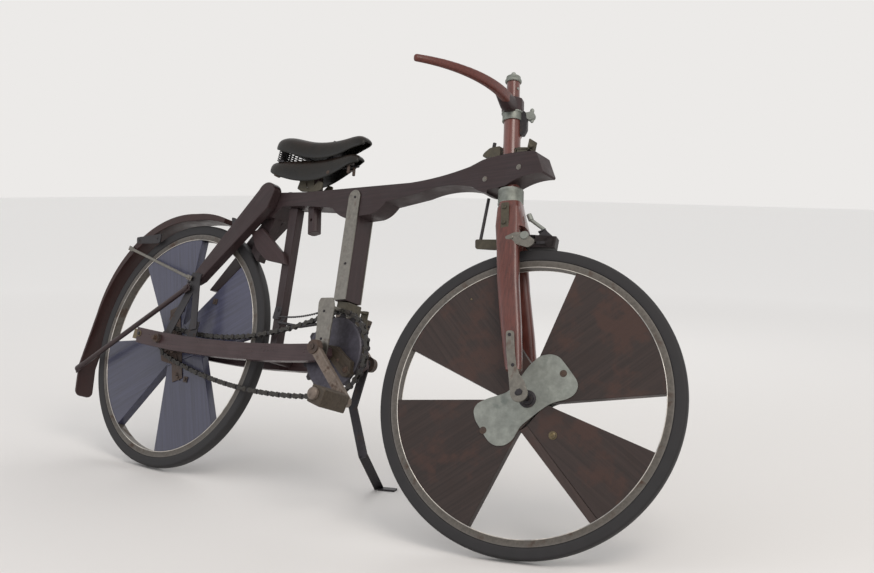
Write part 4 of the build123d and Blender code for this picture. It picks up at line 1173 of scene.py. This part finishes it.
class BICYCLE_OT_stage(BicycleStep, bpy.types.Operator):
    """Pale floor, soft lamps, plain sky and the camera"""

    bl_idname = "bicycle.stage"
    bl_label = "Stage"

    def execute(self, context):
        mesh = bmesh.new()
        bmesh.ops.create_grid(mesh, x_segments=2, y_segments=2, size=FLOOR)
        data = bpy.data.meshes.new("floor")
        mesh.to_mesh(data)
        mesh.free()
        placed("floor", data)
        # Plain paper, a little greyer about the bicycle
        skin, tree, shader, where = begin("floor_paper")
        away = add(tree, "ShaderNodeVectorMath", {0: where}, operation="LENGTH").outputs["Value"]
        paper = blend(tree, span(tree, away, *PAPER_SPAN), *(colour(code) for code in PAPER))
        feed(tree, shader, {"Base Color": paper, "Roughness": 0.9})
        data.materials.append(skin)

        world = bpy.data.worlds.new("plain_sky")
        context.scene.world = world
        world.use_nodes = True
        tree = world.node_tree
        sky = tree.nodes["Background"]
        feed(tree, sky, {"Color": colour(SKY), "Strength": SKY_STRENGTH})
        seen = add(tree, "ShaderNodeBackground", {"Color": colour(BACKDROP), "Strength": 1.0})
        ray = add(tree, "ShaderNodeLightPath").outputs
        direct = both(tree, "MAXIMUM", ray["Is Camera Ray"], ray["Is Transmission Ray"])
        mixed = add(tree, "ShaderNodeMixShader", {0: direct, 1: sky.outputs[0], 2: seen.outputs[0]})
        feed(tree, tree.nodes["World Output"], {"Surface": mixed.outputs[0]})

        for name, spot, wide, power, tone in LAMPS:
            lamp = bpy.data.lights.new(name, "AREA")
            lamp.size, lamp.energy, lamp.color = wide, power, colour(tone)[:3]
            lit = placed(name, lamp)
            lit.location = spot
            lit.rotation_euler = (LIT - Vector(spot)).to_track_quat("-Z", "Y").to_euler()

        turn, tip, roll = (radians(deg) for deg in CAMERA)
        level = cos(tip)
        back = Vector((sin(turn) * level, -cos(turn) * level, sin(tip)))
        right = Vector((cos(turn), sin(turn), 0))
        up = back.cross(right)
        x = right * cos(roll) + up * sin(roll)
        y = up * cos(roll) - right * sin(roll)
        camera = placed("camera", bpy.data.cameras.new("camera"))
        camera.data.sensor_width, camera.data.lens = SENSOR, LENS
        facing_back = Matrix((x, y, back)).transposed().to_4x4()
        camera.matrix_world = Matrix.Translation(AIM + back * DISTANCE) @ facing_back
        context.scene.camera = camera
        context.scene.view_settings.view_transform = "Standard"
        return {"FINISHED"}


# Every operator above, in its order
STEPS = tuple(BicycleStep.__subclasses__())


class BICYCLE_PT_panel(bpy.types.Panel):
    """Lists the steps that dress the bicycle, and its sizes and colours"""

    bl_idname = "BICYCLE_PT_panel"
    bl_label = "Wooden bicycle"
    bl_space_type = "VIEW_3D"
    bl_region_type = "UI"
    bl_category = "Bicycle"

    def draw(self, context):
        for step in STEPS:
            self.layout.operator(step.bl_idname)
        for group in (context.scene.bicycle_sizes, context.scene.bicycle_finishes):
            box = self.layout.box()
            for name in group.__annotations__:
                box.prop(group, name)


CLASSES = (BicycleSizes, BicycleFinishes, *STEPS, BICYCLE_PT_panel)


def register():
    for cls in CLASSES:
        bpy.utils.register_class(cls)
    bpy.types.Scene.bicycle_sizes = bpy.props.PointerProperty(type=BicycleSizes)
    bpy.types.Scene.bicycle_finishes = bpy.props.PointerProperty(type=BicycleFinishes)


def unregister():
    del bpy.types.Scene.bicycle_finishes
    del bpy.types.Scene.bicycle_sizes
    for cls in reversed(CLASSES):
        bpy.utils.unregister_class(cls)


def main():
    register()
    for step in STEPS:
        group, name = step.bl_idname.split(".")
        getattr(getattr(bpy.ops, group), name)()


if __name__ == "__main__":
    main()
